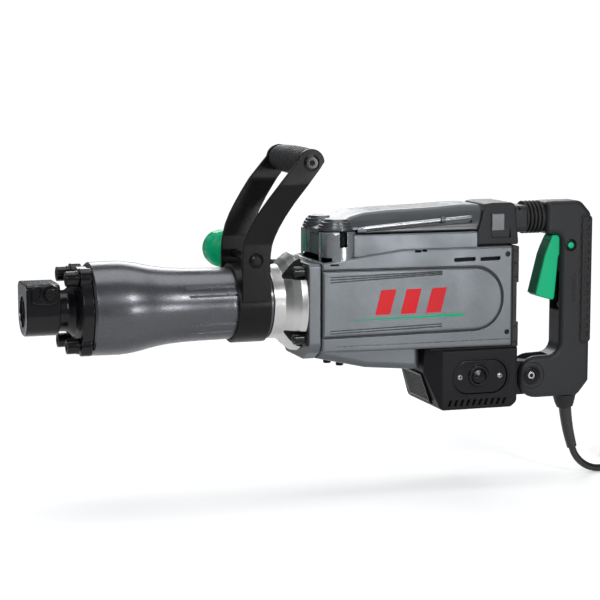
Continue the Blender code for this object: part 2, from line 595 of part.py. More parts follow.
def make_tail(bench, mats):
    outline = rounded([(TAIL_X[0] + 2, TAIL_Z[1], 0), (TAIL_X[1], TAIL_Z[1], 0), (TAIL_X[1], TAIL_Z[0] + 6, 10),
                       (TAIL_X[1] - 10, TAIL_Z[0], 6), (TAIL_X[0] + 19, TAIL_Z[0], 6), (TAIL_X[0], -92, 0)], 4)
    tail = bench.solid("tail_cover", plate_mesh(outline, -TAIL_HALF, TAIL_HALF, "XZ"), mats["charcoal"])
    bevel(tail, 2.5, 2, 50)
    lug = rounded([(615, -92, 0), (615, -136, 0), (668, -136, 20), (686, -110, 18), (668, -91, 16)], 4)
    bench.join(tail, plate_mesh(lug, -11.7, 11.7, "XZ"))
    for turn in (-1, 1):
        corner = [(490, turn * 70), (490, turn * 42), (504, turn * 42), (524, turn * 58.5), (524, turn * 70)]
        bench.cut(tail, plate_mesh(corner, -160, -50, "XY"))
    bench.cut(tail, box_mesh((526, -52, -137), (621, 52, -50)))
    bench.cut(tail, box_mesh((513, -36, -137), (530, 36, -50)))
    intake = Matrix.Translation((511.5 * MM, 0, -115 * MM)) @ Matrix.Rotation(math.radians(-19), 4, "Y")
    opening = box_mesh((-14, -35, -20), (14, 35, 20))
    opening.transform(intake)
    bench.cut(tail, opening)
    for turn in (-1, 1):
        low, high = sorted((turn * 40, turn * 70))
        oval = rounded([(538, -79, 21), (613.5, -79, 21), (613.5, -123, 21), (538, -123, 21)], 5)
        bench.cut(tail, plate_mesh(oval, low, high, "XZ"))
        for index in range(9):
            x = 534 + index * 8.2
            bench.cut(tail, box_mesh((x, low, -137), (x + 4, high, -129)))
    bench.cut(tail, rod_mesh(-30, 30, "Y", (PIVOT[0], PIVOT[1]), 6.4, 20))

    grille = bench.solid("intake_grille", box_mesh((-2, -34.6, -19.6), (2, 34.6, 19.6)), mats["black_plastic"])
    for index in range(9):
        y = -30.5 + index * 7.0
        bench.cut(grille, box_mesh((-10, y, -16.5), (10, y + 5, 16.5)))
    grille.matrix_world = intake @ Matrix.Translation((-1.0 * MM, 0, 0))
    for cutter in bench.cutters.objects:
        if cutter.name.startswith("intake_grille"):
            cutter.matrix_world = grille.matrix_world

    for turn, label in ((-1, "left"), (1, "right")):
        low, high = sorted((turn * 51.5, turn * 55.5))
        oval = rounded([(538.6, -79.6, 20.6), (612.9, -79.6, 20.6), (612.9, -122.4, 20.6), (538.6, -122.4, 20.6)], 5)
        plate = bench.solid(f"brush_cover_{label}", plate_mesh(oval, low, high, "XZ"), mats["black_plastic"])
        bench.cut(plate, rod_mesh(-70, 70, "Y", (MOTOR_X, BRUSH_Z), 9.9, 24))
        for x in (548.0, 603.0):
            low, high = sorted((turn * 53.0, turn * 57.2))
            bench.join(plate, rod_mesh(low, high, "Y", (x, BRUSH_Z - 0.5), 3.4, 12))
        low, high = sorted((turn * 49.4, turn * 58.6))
        cap = bench.solid(f"brush_cap_{label}", rod_mesh(low, high, "Y", (MOTOR_X, BRUSH_Z), 9.5, 24),
                          mats["black_plastic"])
        low, high = sorted((turn * 56.8, turn * 60))
        bench.cut(cap, box_mesh((MOTOR_X - 8, low, BRUSH_Z - 1.3), (MOTOR_X + 8, high, BRUSH_Z + 1.3)))


# ---------------------------------------------------------------- D-handle

def make_d_handle(bench, mats):
    outline = rounded([(683, ARM_TOP, 5), (GRIP_X[1] - 15, ARM_TOP, 10), (GRIP_X[1], 100, 8),
                       (GRIP_X[1] + 0.6, -121, 3), (GRIP_X[1] - 13, -137, 3), (731, FOOT_UNDER, 4),
                       (650, FOOT_UNDER, 24), (645.6, FOOT_TOP - 2, 24), (GRIP_X[0] + 0.2, FOOT_TOP, 15),
                       (GRIP_X[0], ARM_UNDER, 6), (683, ARM_UNDER, 5)], 5)
    body = bench.solid("d_handle", plate_mesh(outline, -HANDLE_HALF, HANDLE_HALF, "XZ"), mats["charcoal"])
    bevel(body, 6.0, 2, 50)
    bench.cut(body, box_mesh((640, -12.2, -160), (692, 12.2, -70)))
    pocket = rounded([(690, 60, 0), (690, 90, 0), (716, 90, 0), (722, 50, 0), (722, -27, 0), (700, -27, 0)], 1)
    bench.cut(body, plate_mesh(pocket, -TRIGGER_HALF - 0.6, TRIGGER_HALF + 0.6, "XZ"))
    bench.cut(body, rod_mesh(-40, 40, "Y", PIVOT, 6.4, 20))
    bench.cut(body, rod_mesh(-40, -14, "Y", PIVOT, 11, 20), rod_mesh(17, 40, "Y", PIVOT, 11, 20))
    bench.cut(body, rod_mesh(-40, -TRIGGER_HALF + 3.8, "Y", LOCK_XZ, 4.6, 16))
    bench.cut(body, rod_mesh(-160, -118, "Z", (722, 0), 9.2, 20))
    bench.cut(body, rod_mesh(670, 700, "X", (0, DAMPER_Z), 7.3, 20))
    bench.cut(body, rod_mesh(-16.8, 16.8, "Y", TRIGGER_PIN, 2.9, 16))
    bench.cut(body, box_mesh((GRIP_X[1] - 8.4, -14, -70), (770, 14, 92)))

    pad = rounded([(GRIP_X[1] - 8, -69, 4), (GRIP_X[1] - 8, 91, 4), (GRIP_X[1] + 0.8, 91, 3),
                   (GRIP_X[1] + 1.2, -69, 3)], 2)
    bench.solid("grip_pad", plate_mesh(pad, -13.6, 13.6, "XZ"), mats["rubber"], 1.0, 1)
    bolt = [(-19.4, 0), (-19.4, 5), (-17.8, 5.8), (-17.8, 9.5), (-14.3, 9.5), (-14.3, 6), (19.2, 6), (19.2, 0)]
    bench.turned("pivot_bolt", bolt, "Y", (PIVOT[0], 0, PIVOT[1]), mats["steel"], 20, closed=False)

    ribs = []
    for index in range(5):
        crest = 654.6 + index * 5.4
        ribs += [(crest, 19.0), (crest + 1.2, 21.0), (crest + 3.2, 21.0), (crest + 4.4, 18.4)]
    ribs.append((681.7, 19.5))
    inner = [(ribs[-1][0], 16.0), (ribs[0][0], 16.0)]
    bench.turned("damper_bellows", ribs + inner, "X", (0, 0, DAMPER_Z), mats["rubber"], 24)
    bench.turned("damper_rod", [(612, 0), (612, 6.2), (699, 6.2), (699, 0)], "X", (0, 0, DAMPER_Z), mats["steel"],
                 20, closed=False)

    switch = bench.solid("power_switch", box_mesh((710.5, -11.5, -24), (721.6, 11.5, 44)), mats["black_plastic"])
    bench.cut(switch, box_mesh((700, -20, -17), (715.2, 20, 24)))


def make_trigger(bench, mats):
    """The paddle hangs from its pin at the top and swings rearwards into the grip."""
    face = rounded([(695.5, 74, 4), (686.0, 50, 8), (671.8, -5.5, 3), (699.5, -13.5, 2), (704.6, 44, 4),
                    (712.6, 61, 3), (713.4, 74, 5)], 3)
    trigger = bench.solid("trigger", plate_mesh(face, -TRIGGER_HALF, TRIGGER_HALF, "XZ"), mats["green"])
    bevel(trigger, 2.0, 2, 50)
    bench.join(trigger, rod_mesh(-16.4, 16.4, "Y", TRIGGER_PIN, 2.6, 16))
    set_origin(trigger, (TRIGGER_PIN[0], 0, TRIGGER_PIN[1]))
    profile = [(13.3, 0), (13.3, 4.2), (20.6, 4.2), (21.8, 3.2), (21.8, 0)]
    bench.turned("lock_button", profile, "-Y", (LOCK_XZ[0], 0, LOCK_XZ[1]), mats["green"], 20, closed=False)


# ---------------------------------------------------------------- side handle

def make_side_handle(bench, mats):
    ring = [(BOW_X[0], BOW_R[0]), (BOW_X[0], BOW_R[1]), (BOW_X[1], BOW_R[1]), (BOW_X[1], BOW_R[0])]
    bow = bench.turned("handle_bow", ring, "X", (0, 0, 0), mats["black_steel"], 48)
    left = [(262, 6), (262, 60), (263, 75), (269, 93), (281.5, 118), (302, 149), (328, 179)]
    right = [(362, 178), (350, 160), (333, 138.5), (316.5, 114), (304.5, 90), (299, 70), (298, 60), (298, 6)]
    crown = [(GRIP_XZ[0] + 17 * math.cos(angle), GRIP_XZ[1] + 17 * math.sin(angle))
             for angle in (math.radians(150 - 25 * step) for step in range(6))]
    outline = left + crown + right
    for turn in (-1, 1):
        low, high = sorted((turn * (BOW_R[0] + 0.2), turn * (BOW_R[0] + 0.2 + ARM_THICK)))
        arm = plate_mesh(outline, low, high, "XZ")
        shape = bmesh.new()
        shape.from_mesh(arm)
        for height in (80, 150):
            geometry = shape.verts[:] + shape.edges[:] + shape.faces[:]
            bmesh.ops.bisect_plane(shape, geom=geometry, plane_co=(0, 0, height * MM), plane_no=(0, 0, 1))
        for vert in shape.verts:
            rise = min(max(vert.co.z / MM - 80, 0), 70)
            vert.co.y += turn * 0.24 * rise * MM
        shape.to_mesh(arm)
        shape.free()
        bench.join(bow, arm)
    bench.cut(bow, rod_mesh(-90, 90, "Y", BOLT_XZ, 5.4, 16))
    bench.cut(bow, rod_mesh(-90, 90, "Y", GRIP_XZ, 6.4, 16))

    inner = BOW_R[0] + 0.2 + 0.24 * 70
    grip_profile = [(-inner + 0.3, 7.0), (-inner + 0.3, 15.5), (-44, 16.8), (-20, 17.9), (20, 17.9), (44, 16.8),
                    (inner - 0.3, 15.5), (inner - 0.3, 7.0)]
    bench.turned("side_grip", grip_profile, "Y", (GRIP_XZ[0], 0, GRIP_XZ[1]), mats["rubber"], 24)
    outer = inner + ARM_THICK
    for_bolt = [(-outer - 3.0, 0), (-outer - 3.0, 8.4), (-outer - 0.4, 10.2), (-outer - 0.1, 10.2), (-outer - 0.1, 6),
                (outer + 0.6, 6), (outer + 0.6, 10.2), (outer + 3.6, 9.0), (outer + 3.6, 0)]
    bench.turned("grip_bolt", for_bolt, "Y", (GRIP_XZ[0], 0, GRIP_XZ[1]), mats["black_steel"], 20, closed=False)

    wall = BOW_R[0] + 0.2 + ARM_THICK
    bolt = [(-wall - 4.0, 0), (-wall - 3.2, 5.5), (-wall - 0.3, 9.2), (-wall - 0.1, 9.2), (-wall - 0.1, 5),
            (98, 5), (98, 0)]
    place = (BOLT_XZ[0], 0, BOLT_XZ[1])
    bench.turned("clamp_bolt", bolt, "Y", place, mats["black_steel"], 20, closed=False)
    knob = [(121, 0), (120, 12), (116, 20), (108, 24.5), (96, 24.5), (90, 21.5), (84, 13), (72, 11),
            (wall + 0.5, 12.5), (wall + 0.5, 5.4), (101, 5.4), (101, 0)]
    bench.turned("clamp_knob", knob, "Y", place, mats["green"], 32, closed=False)


# ---------------------------------------------------------------- mains lead

def make_lead(bench, mats):
    route = [(722, 0, -120), (722, 0, -141.0), (722, 0, -141.2), (722.3, 0, -150), (723.2, 0, -157.5),
             (723.6, 0, -158.6), (725.2, 0, -172), (727.9, 0, -187), (731.3, 0, -201), (734.7, 0, -213)]
    radii = [8.6, 8.6, 15.5, 13.2, 10.6, 8.2, 7.9, 7.6, 7.2, 6.8]
    bench.solid("cord_guard", tube_mesh(route, radii, 3), mats["rubber"])
    lead = smooth_route(CORD_ROUTE, 2)
    bench.solid("power_cord", tube_mesh(lead, [CORD_R] * len(lead), 2), mats["cable"])
    half = COIL_HALF
    middle = CORD_FLOOR - CORD_R + half
    ring = rounded([(middle + half, COIL_MID_R - half, 5), (middle + half, COIL_MID_R + half, 5),
                    (middle - half, COIL_MID_R + half, 5), (middle - half, COIL_MID_R - half, 5)], 1)
    bench.turned("cord_coil", ring, "Z", (COIL_X, COIL_Y, 0), mats["cable"], 32)
    end = smooth_route(CORD_END_ROUTE, 2)
    bench.solid("cord_end", tube_mesh(end, [CORD_R] * len(end), 2), mats["cable"])
    plug = bench.solid("mains_plug", rod_mesh(PLUG_X, PLUG_X + 24, "X", (PLUG_Y, PLUG_Z), 6.0, 20, 8.0), mats["cable"])
    sides = [(PLUG_X + 14, 9, 3), (PLUG_X + 26, 18.2, 6), (PLUG_X + 54, 18.2, 2)]
    shape = rounded([(x, PLUG_Y + y, radius) for x, y, radius in sides]
                    + [(x, PLUG_Y - y, radius) for x, y, radius in reversed(sides)], 3)
    bench.join(plug, plate_mesh(shape, PLUG_Z - 13, PLUG_Z + 13, "XY"), rounding=5)
    for turn in (-1, 1):
        bench.join(plug, rod_mesh(PLUG_X + 48, PLUG_X + 73, "X", (PLUG_Y + turn * 9.5, PLUG_Z), 2.4, 12))


def build():
    clear_scene()
    bench = Bench()
    mats = make_materials()
    make_nose(bench, mats)
    make_retainer_pin(bench, mats)
    make_flange_bolts(bench, mats)
    make_barrel(bench, mats)
    make_striking_parts(bench, mats)
    make_crank(bench, mats)
    make_motor(bench, mats)
    make_gear_neck(bench, mats)
    make_casings(bench, mats)
    make_rear(bench, mats)
    make_tail(bench, mats)
    make_d_handle(bench, mats)
    make_trigger(bench, mats)
    make_side_handle(bench, mats)
    make_lead(bench, mats)
    bpy.context.view_layer.update()


build()
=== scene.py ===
"""Demolition hammer: camera, studio, procedural materials and the detailed pieces over the CAD frame.

Lengths in the piece code are millimetres in the CAD's own frame: X runs from the nose to the rear along the
hammer's axis, Z is up, and -Y is the operator's left.
"""
import json
import math

import bmesh
import bpy
from mathutils import Matrix, Vector


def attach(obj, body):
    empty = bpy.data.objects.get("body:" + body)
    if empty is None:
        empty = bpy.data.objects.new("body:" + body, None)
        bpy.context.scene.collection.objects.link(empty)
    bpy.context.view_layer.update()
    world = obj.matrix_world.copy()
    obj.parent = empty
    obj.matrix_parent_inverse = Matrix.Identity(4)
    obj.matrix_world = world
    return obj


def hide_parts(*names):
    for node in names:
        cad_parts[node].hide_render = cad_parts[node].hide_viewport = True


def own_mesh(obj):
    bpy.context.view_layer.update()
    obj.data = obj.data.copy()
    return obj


MM = 0.001

# Centres and levels that several pieces share, in millimetres
CROSS_PIN_XZ = (27, 24.5)
FLANGE_Y, FLANGE_Z = 29, 41
BOSS_X = 389.5
DAMPER_YZ = (0, 97)
BRUSH_XZ = (574, -100)
PIVOT_XZ = (665, -110)
TRIGGER_XZ = (709.5, 69)
LOCK_XZ = (718, 60)
GRIP_XZ = (345, 177)
CLAMP_XZ = (279.5, 57.5)
PLUG_Y, PLUG_Z = 9.5, -236.6
COIL_X, COIL_Y, FLOOR = 885.0, 62.0, -249.95
CORD_R = 4.75
COIL_STEPS = 36
# Radius and level at the start of each turn, from the floor up, and at the end of the last
COIL_TURNS = [(62.0, 0), (52.5, 0), (43.0, 0), (43.0, 1), (52.5, 1), (62.0, 1), (62.0, 2), (52.5, 2), (52.5, 3)]

WORLD_STRENGTH, BACKDROP_STRENGTH, FLOOR_LIFT = 0.20, 1.05, 0.26
# Place, target, size and power, in metres and watts
SOFTBOXES = {
    "key": ((-0.55, -1.9, 1.15), (0.25, 0.0, 0.0), (0.55, 0.9), 17),
    "overhead": ((0.4, 0.1, 1.9), (0.4, 0.0, 0.0), (2.2, 1.4), 21),
    "front_fill": ((1.24, -2.1, 0.02), (0.54, 0.0, 0.0), (0.40, 0.34), 7.5),
    "back_rim": ((0.9, 1.6, 0.9), (0.4, 0.0, 0.05), (1.2, 0.8), 14),
    "barrel_glint": ((0.92, -1.62, 0.93), (0.12, -0.05, 0.0), (0.30, 0.30), 8),
}

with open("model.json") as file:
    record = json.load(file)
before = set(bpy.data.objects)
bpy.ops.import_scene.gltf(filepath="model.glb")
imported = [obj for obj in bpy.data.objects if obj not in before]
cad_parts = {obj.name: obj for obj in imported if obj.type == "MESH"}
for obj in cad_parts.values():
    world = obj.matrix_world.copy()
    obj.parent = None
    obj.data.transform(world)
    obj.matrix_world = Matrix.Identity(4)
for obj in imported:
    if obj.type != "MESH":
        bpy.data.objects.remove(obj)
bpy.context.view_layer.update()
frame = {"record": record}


# ---------------------------------------------------------------- camera

def make_camera():
    data = bpy.data.cameras.new("camera")
    data.lens = 114.0
    data.sensor_width = 36.0
    data.clip_start = 0.05
    data.clip_end = 60.0
    camera = bpy.data.objects.new("camera", data)
    bpy.context.scene.collection.objects.link(camera)
    azimuth, elevation, distance = math.radians(-18.0), math.radians(7.5), 2.4
    target = Vector((0.352, 0.0, 0.0))
    back = Vector((math.sin(azimuth) * math.cos(elevation), -math.cos(azimuth) * math.cos(elevation),
            math.sin(elevation)))
    camera.location = target + back * distance
    camera.rotation_mode = "QUATERNION"
    camera.rotation_quaternion = (-back).to_track_quat("-Z", "Y")
    bpy.context.scene.camera = camera


# ---------------------------------------------------------------- mesh helpers

def turn_to(axis):
    """The rotation that takes +Z to the named axis."""
    return {
        "X": Matrix.Rotation(math.pi / 2, 4, "Y"),
        "Y": Matrix.Rotation(-math.pi / 2, 4, "X"),
        "-Y": Matrix.Rotation(math.pi / 2, 4, "X"),
        "Z": Matrix.Identity(4),
    }[axis]


def mesh_from(shape, name="mesh"):
    bmesh.ops.recalc_face_normals(shape, faces=shape.faces)
    mesh = bpy.data.meshes.new(name)
    shape.to_mesh(mesh)
    shape.free()
    return mesh


def box_mesh(low, high):
    shape = bmesh.new()
    bmesh.ops.create_cube(shape, size=1.0)
    size, centre = Vector(high) - Vector(low), (Vector(high) + Vector(low)) / 2
    scale = Matrix.Diagonal((size.x * MM, size.y * MM, size.z * MM, 1.0))
    bmesh.ops.transform(shape, matrix=Matrix.Translation(centre * MM) @ scale, verts=shape.verts)
    return mesh_from(shape)


def rod_mesh(start, end, axis, centre, radius, sides=48, phase=0.0):
    shape = bmesh.new()
    bmesh.ops.create_cone(shape, cap_ends=True, segments=sides, radius1=radius * MM, radius2=radius * MM,
            depth=abs(end - start) * MM)
    middle = (start + end) / 2
    place = {"X": (middle, *centre), "Y": (centre[0], middle, centre[1]), "Z": (*centre, middle)}[axis]
    move = Matrix.Translation(Vector(place) * MM) @ turn_to(axis) @ Matrix.Rotation(phase, 4, "Z")
    bmesh.ops.transform(shape, matrix=move, verts=shape.verts)
    return mesh_from(shape)


def lathe_mesh(profile, axis, place, steps=72, lobes=0, lobe_depth=0.0, lobe_span=(0, 0)):
    """A turned shape: profile is (distance along the axis, radius). Lobes scallop the span of radii given."""
    shape = bmesh.new()
    rings = []
    for along, radius in profile:
        if radius <= 0:
            rings.append([shape.verts.new((0, 0, along * MM))])
            continue
        ring = []
        for step in range(steps):
            angle = math.tau * step / steps
            r = radius
            if lobes and lobe_span[0] <= along <= lobe_span[1]:
                r -= lobe_depth * (0.5 - 0.5 * math.cos(lobes * angle))
            ring.append(shape.verts.new((r * MM * math.cos(angle), r * MM * math.sin(angle), along * MM)))
        rings.append(ring)
    closed = profile[0][1] > 0 and profile[-1][1] > 0
    pairs = list(zip(rings, rings[1:])) + ([(rings[-1], rings[0])] if closed else [])
    for first, second in pairs:
        for step in range(steps):
            following = (step + 1) % steps
            corners = [first[step % len(first)], first[following % len(first)],
                    second[following % len(second)], second[step % len(second)]]
            unique = list(dict.fromkeys(corners))
            if len(unique) > 2:
                shape.faces.new(unique)
    bmesh.ops.transform(shape, matrix=Matrix.Translation(Vector(place) * MM) @ turn_to(axis), verts=shape.verts)
    return mesh_from(shape)


def fillet_profile(corners, points=4):
    """Rounds a turned profile's corners, given as (along, radius, fillet)."""
    outline = [(corners[0][0], corners[0][1])]
    for index in range(1, len(corners) - 1):
        outline += corner_arc(corners[index - 1], corners[index], corners[index + 1], points)
    return outline + [(corners[-1][0], corners[-1][1])]


def corner_arc(previous, corner, following, points):
    here, radius = Vector(corner[:2]), corner[2]
    if radius == 0:
        return [tuple(here)]
    before = (Vector(previous[:2]) - here).normalized()
    after = (Vector(following[:2]) - here).normalized()
    half = before.angle(after) / 2
    if half > 1.54:
        return [tuple(here)]
    reach = radius / math.tan(half)
    centre = here + (before + after).normalized() * (radius / math.sin(half))
    start = here + before * reach - centre
    turn = start.angle_signed(here + after * reach - centre)
    return [tuple(centre + Matrix.Rotation(-turn * step / points, 2) @ start) for step in range(points + 1)]


def rounded(corners, arc_points=8):
    outline = []
    count = len(corners)
    for index, corner in enumerate(corners):
        outline += corner_arc(corners[index - 1], corner, corners[(index + 1) % count], arc_points)
    return outline


PLANES = {
    "XZ": lambda u, v, w: (u, w, v),
    "YZ": lambda u, v, w: (w, u, v),
    "XY": lambda u, v, w: (u, v, w),
}


def plate_mesh(outline, low, high, plane):
    """A flat outline in plane XZ, YZ or XY, given thickness from low to high along the third axis."""
    shape = bmesh.new()
    place = PLANES[plane]
    rings = []
    for level in (low, high):
        rings.append([shape.verts.new(Vector(place(u, v, level)) * MM) for u, v in outline])
    shape.faces.new(rings[0])
    shape.faces.new(list(reversed(rings[1])))
    for index in range(len(outline)):
        following = (index + 1) % len(outline)
        shape.faces.new((rings[0][following], rings[0][index], rings[1][index], rings[1][following]))
    return mesh_from(shape)


def inset(corners, distance):
    """The corners of an outline moved inwards by a distance, with their fillets kept concentric."""
    area = sum(a[0] * b[1] - b[0] * a[1] for a, b in zip(corners, corners[1:] + corners[:1]))
    side = 1 if area > 0 else -1
    moved = []
    for index, (u, v, radius) in enumerate(corners):
        before, after = corners[index - 1], corners[(index + 1) % len(corners)]
        first = (Vector((u, v)) - Vector(before[:2])).normalized()
        second = (Vector(after[:2]) - Vector((u, v))).normalized()
        inward = [Vector((-edge.y, edge.x)) * side for edge in (first, second)]
        shift = (inward[0] + inward[1]) * (distance / (1 + inward[0].dot(inward[1])))
        convex = (first.x * second.y - first.y * second.x) * side > 0
        moved.append((u + shift.x, v + shift.y, max(radius - distance if convex else radius + distance, 0.03)))
    return moved


def soft_plate(corners, low, high, plane, edge, arc_points=8, segments=5):
    """A plate whose outline is corners (u, v, fillet) and whose two rims are rounded with radius edge."""
    place = PLANES[plane]
    levels = []
    for step in range(segments + 1):
        angle = math.pi / 2 * step / segments
        levels.append((low + edge * (1 - math.sin(angle)), edge * (1 - math.cos(angle))))
    levels.reverse()
    levels = levels + [(low + high - level, depth) for level, depth in reversed(levels)]
    shape = bmesh.new()
    rings = []
    for level, depth in levels:
        outline = rounded(inset(corners, depth), arc_points)
        rings.append([shape.verts.new(Vector(place(u, v, level)) * MM) for u, v in outline])
    for first, second in zip(rings, rings[1:]):
        for index in range(len(first)):
            following = (index + 1) % len(first)
            shape.faces.new((first[index], first[following], second[following], second[index]))
    shape.faces.new(rings[0])
    shape.faces.new(list(reversed(rings[-1])))
    return mesh_from(shape)


def smooth_route(points, per_span):
    """Points on a Catmull-Rom curve through the route's own points."""
    first, last = Vector(points[0]), Vector(points[-1])
    ends = [first * 2 - Vector(points[1]), *map(Vector, points), last * 2 - Vector(points[-2])]
    route = []
    for a, b, c, d in zip(ends, ends[1:], ends[2:], ends[3:]):
        for step in range(per_span):
            t = step / per_span
            route.append(0.5 * (2 * b + (c - a) * t + (2 * a - 5 * b + 4 * c - d) * t * t
                    + (3 * b - a - 3 * c + d) * t ** 3))
    route.append(ends[-2])
    return route


def tube_mesh(points, radii, sides=16):
    """A round tube along points, with one radius for each point and flat closed ends."""
    shape = bmesh.new()
    points = [Vector(point) for point in points]
    normal = None
    rings = []
    for index, point in enumerate(points):
        ahead = points[min(index + 1, len(points) - 1)] - points[max(index - 1, 0)]
        ahead.normalize()
        if normal is None:
            normal = ahead.orthogonal().normalized()
        normal = (normal - ahead * normal.dot(ahead)).normalized()
        across = ahead.cross(normal)
        ring = []
        for side in range(sides):
            angle = math.tau * side / sides
            offset = (normal * math.cos(angle) + across * math.sin(angle)) * radii[index]
            ring.append(shape.verts.new((point + offset) * MM))
        rings.append(ring)
    for first, second in zip(rings, rings[1:]):
        for side in range(sides):
            following = (side + 1) % sides
            shape.faces.new((first[side], first[following], second[following], second[side]))
    shape.faces.new(list(reversed(rings[0])))
    shape.faces.new(rings[-1])
    return mesh_from(shape)


def sheared(mesh, move):
    for vert in mesh.vertices:
        vert.co = Vector(move(*(vert.co / MM))) * MM
    return mesh


def drawn_in(mesh, start, height, share, power=1.0):
    """Draws a mesh's two sides together towards its top: by a share of the width, over a height from start."""
    def lean(x, y, z):
        return x, y * (1 - share * max(0.0, min(1.0, (z - start) / height)) ** power), z

    return sheared(mesh, lean)


def sliced(mesh, *heights):
    """Adds a level loop of edges at each height, where the mesh can then bend."""
    shape = bmesh.new()
    shape.from_mesh(mesh)
    for height in heights:
        geometry = shape.verts[:] + shape.edges[:] + shape.faces[:]
        bmesh.ops.bisect_plane(shape, geom=geometry, plane_co=(0, 0, height * MM), plane_no=(0, 0, 1))
    shape.to_mesh(mesh)
    shape.free()
    return mesh


def join_meshes(meshes):
    shape = bmesh.new()
    for mesh in meshes:
        shape.from_mesh(mesh)
    return mesh_from(shape)


# ---------------------------------------------------------------- pieces

scratch = bpy.data.collections.new("scratch")
bpy.context.scene.collection.children.link(scratch)


class Work:
    """One visible piece while it is being cut, joined and rounded."""

    def __init__(self, name, mesh, mat):
        self.item = bpy.data.objects.new(name, mesh)
        mesh.materials.append(mats[mat])
        bpy.context.scene.collection.objects.link(self.item)
        self.tools = []

    def bevel(self, width, segments=3, angle=40):
        mod = self.item.modifiers.new("rounding", "BEVEL")
        mod.width = width * MM
        mod.segments = segments
        mod.limit_method = "ANGLE"
        mod.angle_limit = math.radians(angle)
        return self

    def _tool(self, mesh, operation, rounding, mat, segments):
        tool = bpy.data.objects.new("tool", mesh)
        mesh.materials.append(mats[mat] if mat else self.item.data.materials[0])
        scratch.objects.link(tool)
        if rounding:
            mod = tool.modifiers.new("rounding", "BEVEL")
            mod.width = rounding * MM
            mod.segments = segments
            mod.limit_method = "ANGLE"
            mod.angle_limit = math.radians(40)
        mod = self.item.modifiers.new(operation.lower(), "BOOLEAN")
        mod.operation = operation
        mod.object = tool
        mod.solver = "EXACT"
        mod.material_mode = "TRANSFER"
        self.tools.append(tool)

    def cut(self, *meshes, rounding=0.0, mat=None, segments=2):
        for mesh in meshes:
            self._tool(mesh, "DIFFERENCE", rounding, mat, segments)
        return self

    def join(self, *meshes, rounding=0.0, mat=None, segments=3):
        for mesh in meshes:
            self._tool(mesh, "UNION", rounding, mat, segments)
        return self

    def done(self, body, *nodes, slot=None, smooth=38):
        """Applies the modifiers, shades the piece, and puts it on its body in place of the CAD nodes."""
        graph = bpy.context.evaluated_depsgraph_get()
        mesh = bpy.data.meshes.new_from_object(self.item.evaluated_get(graph), preserve_all_data_layers=True,
                depsgraph=graph)
        self.item.modifiers.clear()
        self.item.data = mesh
        mesh.name = self.item.name
        for tool in self.tools:
            bpy.data.objects.remove(tool, do_unlink=True)
        shape = bmesh.new()
        shape.from_mesh(mesh)
        bmesh.ops.remove_doubles(shape, verts=shape.verts, dist=0.00002)
        bmesh.ops.dissolve_degenerate(shape, edges=shape.edges, dist=0.00002)
        shape.to_mesh(mesh)
        shape.free()
        mesh.shade_smooth()
        mesh.set_sharp_from_angle(angle=math.radians(smooth))
        mod = self.item.modifiers.new("flat_faces", "WEIGHTED_NORMAL")
        mod.keep_sharp = True
        mod.weight = 60
        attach(self.item, body)
        if nodes:
            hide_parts(*nodes)
        return self.item


def on_middle(centre):
    """A centre (x, z) as a place in the hammer's middle plane."""
    return centre[0], 0, centre[1]


def mirrored(turn, near, far):
    """Two distances from the middle, as Y values in rising order, on the side that turn (-1 or 1) names."""
    return sorted((turn * near, turn * far))


def side_plate(outline, turn, near, far):
    return plate_mesh(outline, *mirrored(turn, near, far), "XZ")


def side_box(turn, near, far, x, z):
    low, high = mirrored(turn, near, far)
    return box_mesh((x[0], low, z[0]), (x[1], high, z[1]))


def side_lathe(turn, profile, points, place, steps):
    """A filleted profile turned about Y, with its distances counted outwards on the side that turn names."""
    outline = [(turn * along, radius) for along, radius in fillet_profile(profile, points)]
    return lathe_mesh(outline, "Y", place, steps)


# ---------------------------------------------------------------- materials

class Surface:
    """Builds one procedural material: rounded edges, fine grain, soft colour and roughness changes, and lighter edges
    that are partly edge wear and partly a painted edge highlight.
    """

    def __init__(self, name):
        self.mat = bpy.data.materials.new(name)
        self.mat.use_nodes = True
        self.tree = self.mat.node_tree
        self.shader = self.tree.nodes["Principled BSDF"]
        self.coords = self.add("ShaderNodeTexCoord").outputs["Object"]

    def add(self, kind, **values):
        node = self.tree.nodes.new(kind)
        for key, value in values.items():
            setattr(node, key, value)
        return node

    def link(self, source, target):
        self.tree.links.new(source, target)

    def noise(self, scale, detail=4.0, roughness=0.6, stretch=None):
        node = self.add("ShaderNodeTexNoise")
        node.inputs["Scale"].default_value = scale
        node.inputs["Detail"].default_value = detail
        node.inputs["Roughness"].default_value = roughness
        source = self.coords
        if stretch:
            mapping = self.add("ShaderNodeMapping")
            mapping.inputs["Scale"].default_value = stretch
            self.link(source, mapping.inputs["Vector"])
            source = mapping.outputs["Vector"]
        self.link(source, node.inputs["Vector"])
        return node.outputs["Fac"]

    def remap(self, source, low, high, start=0.3, end=0.7):
        node = self.add("ShaderNodeMapRange")
        node.inputs["From Min"].default_value = start
        node.inputs["From Max"].default_value = end
        node.inputs["To Min"].default_value = low
        node.inputs["To Max"].default_value = high
        self.link(source, node.inputs["Value"])
        return node.outputs["Result"]

    def blend(self, factor, first, second):
        node = self.add("ShaderNodeMix", data_type="RGBA")
        for socket, value in ((node.inputs[6], first), (node.inputs[7], second)):
            if isinstance(value, tuple):
                socket.default_value = (*value, 1.0)
            else:
                self.link(value, socket)
        if isinstance(factor, float):
            node.inputs[0].default_value = factor
        else:
            self.link(factor, node.inputs[0])
        return node.outputs[2]


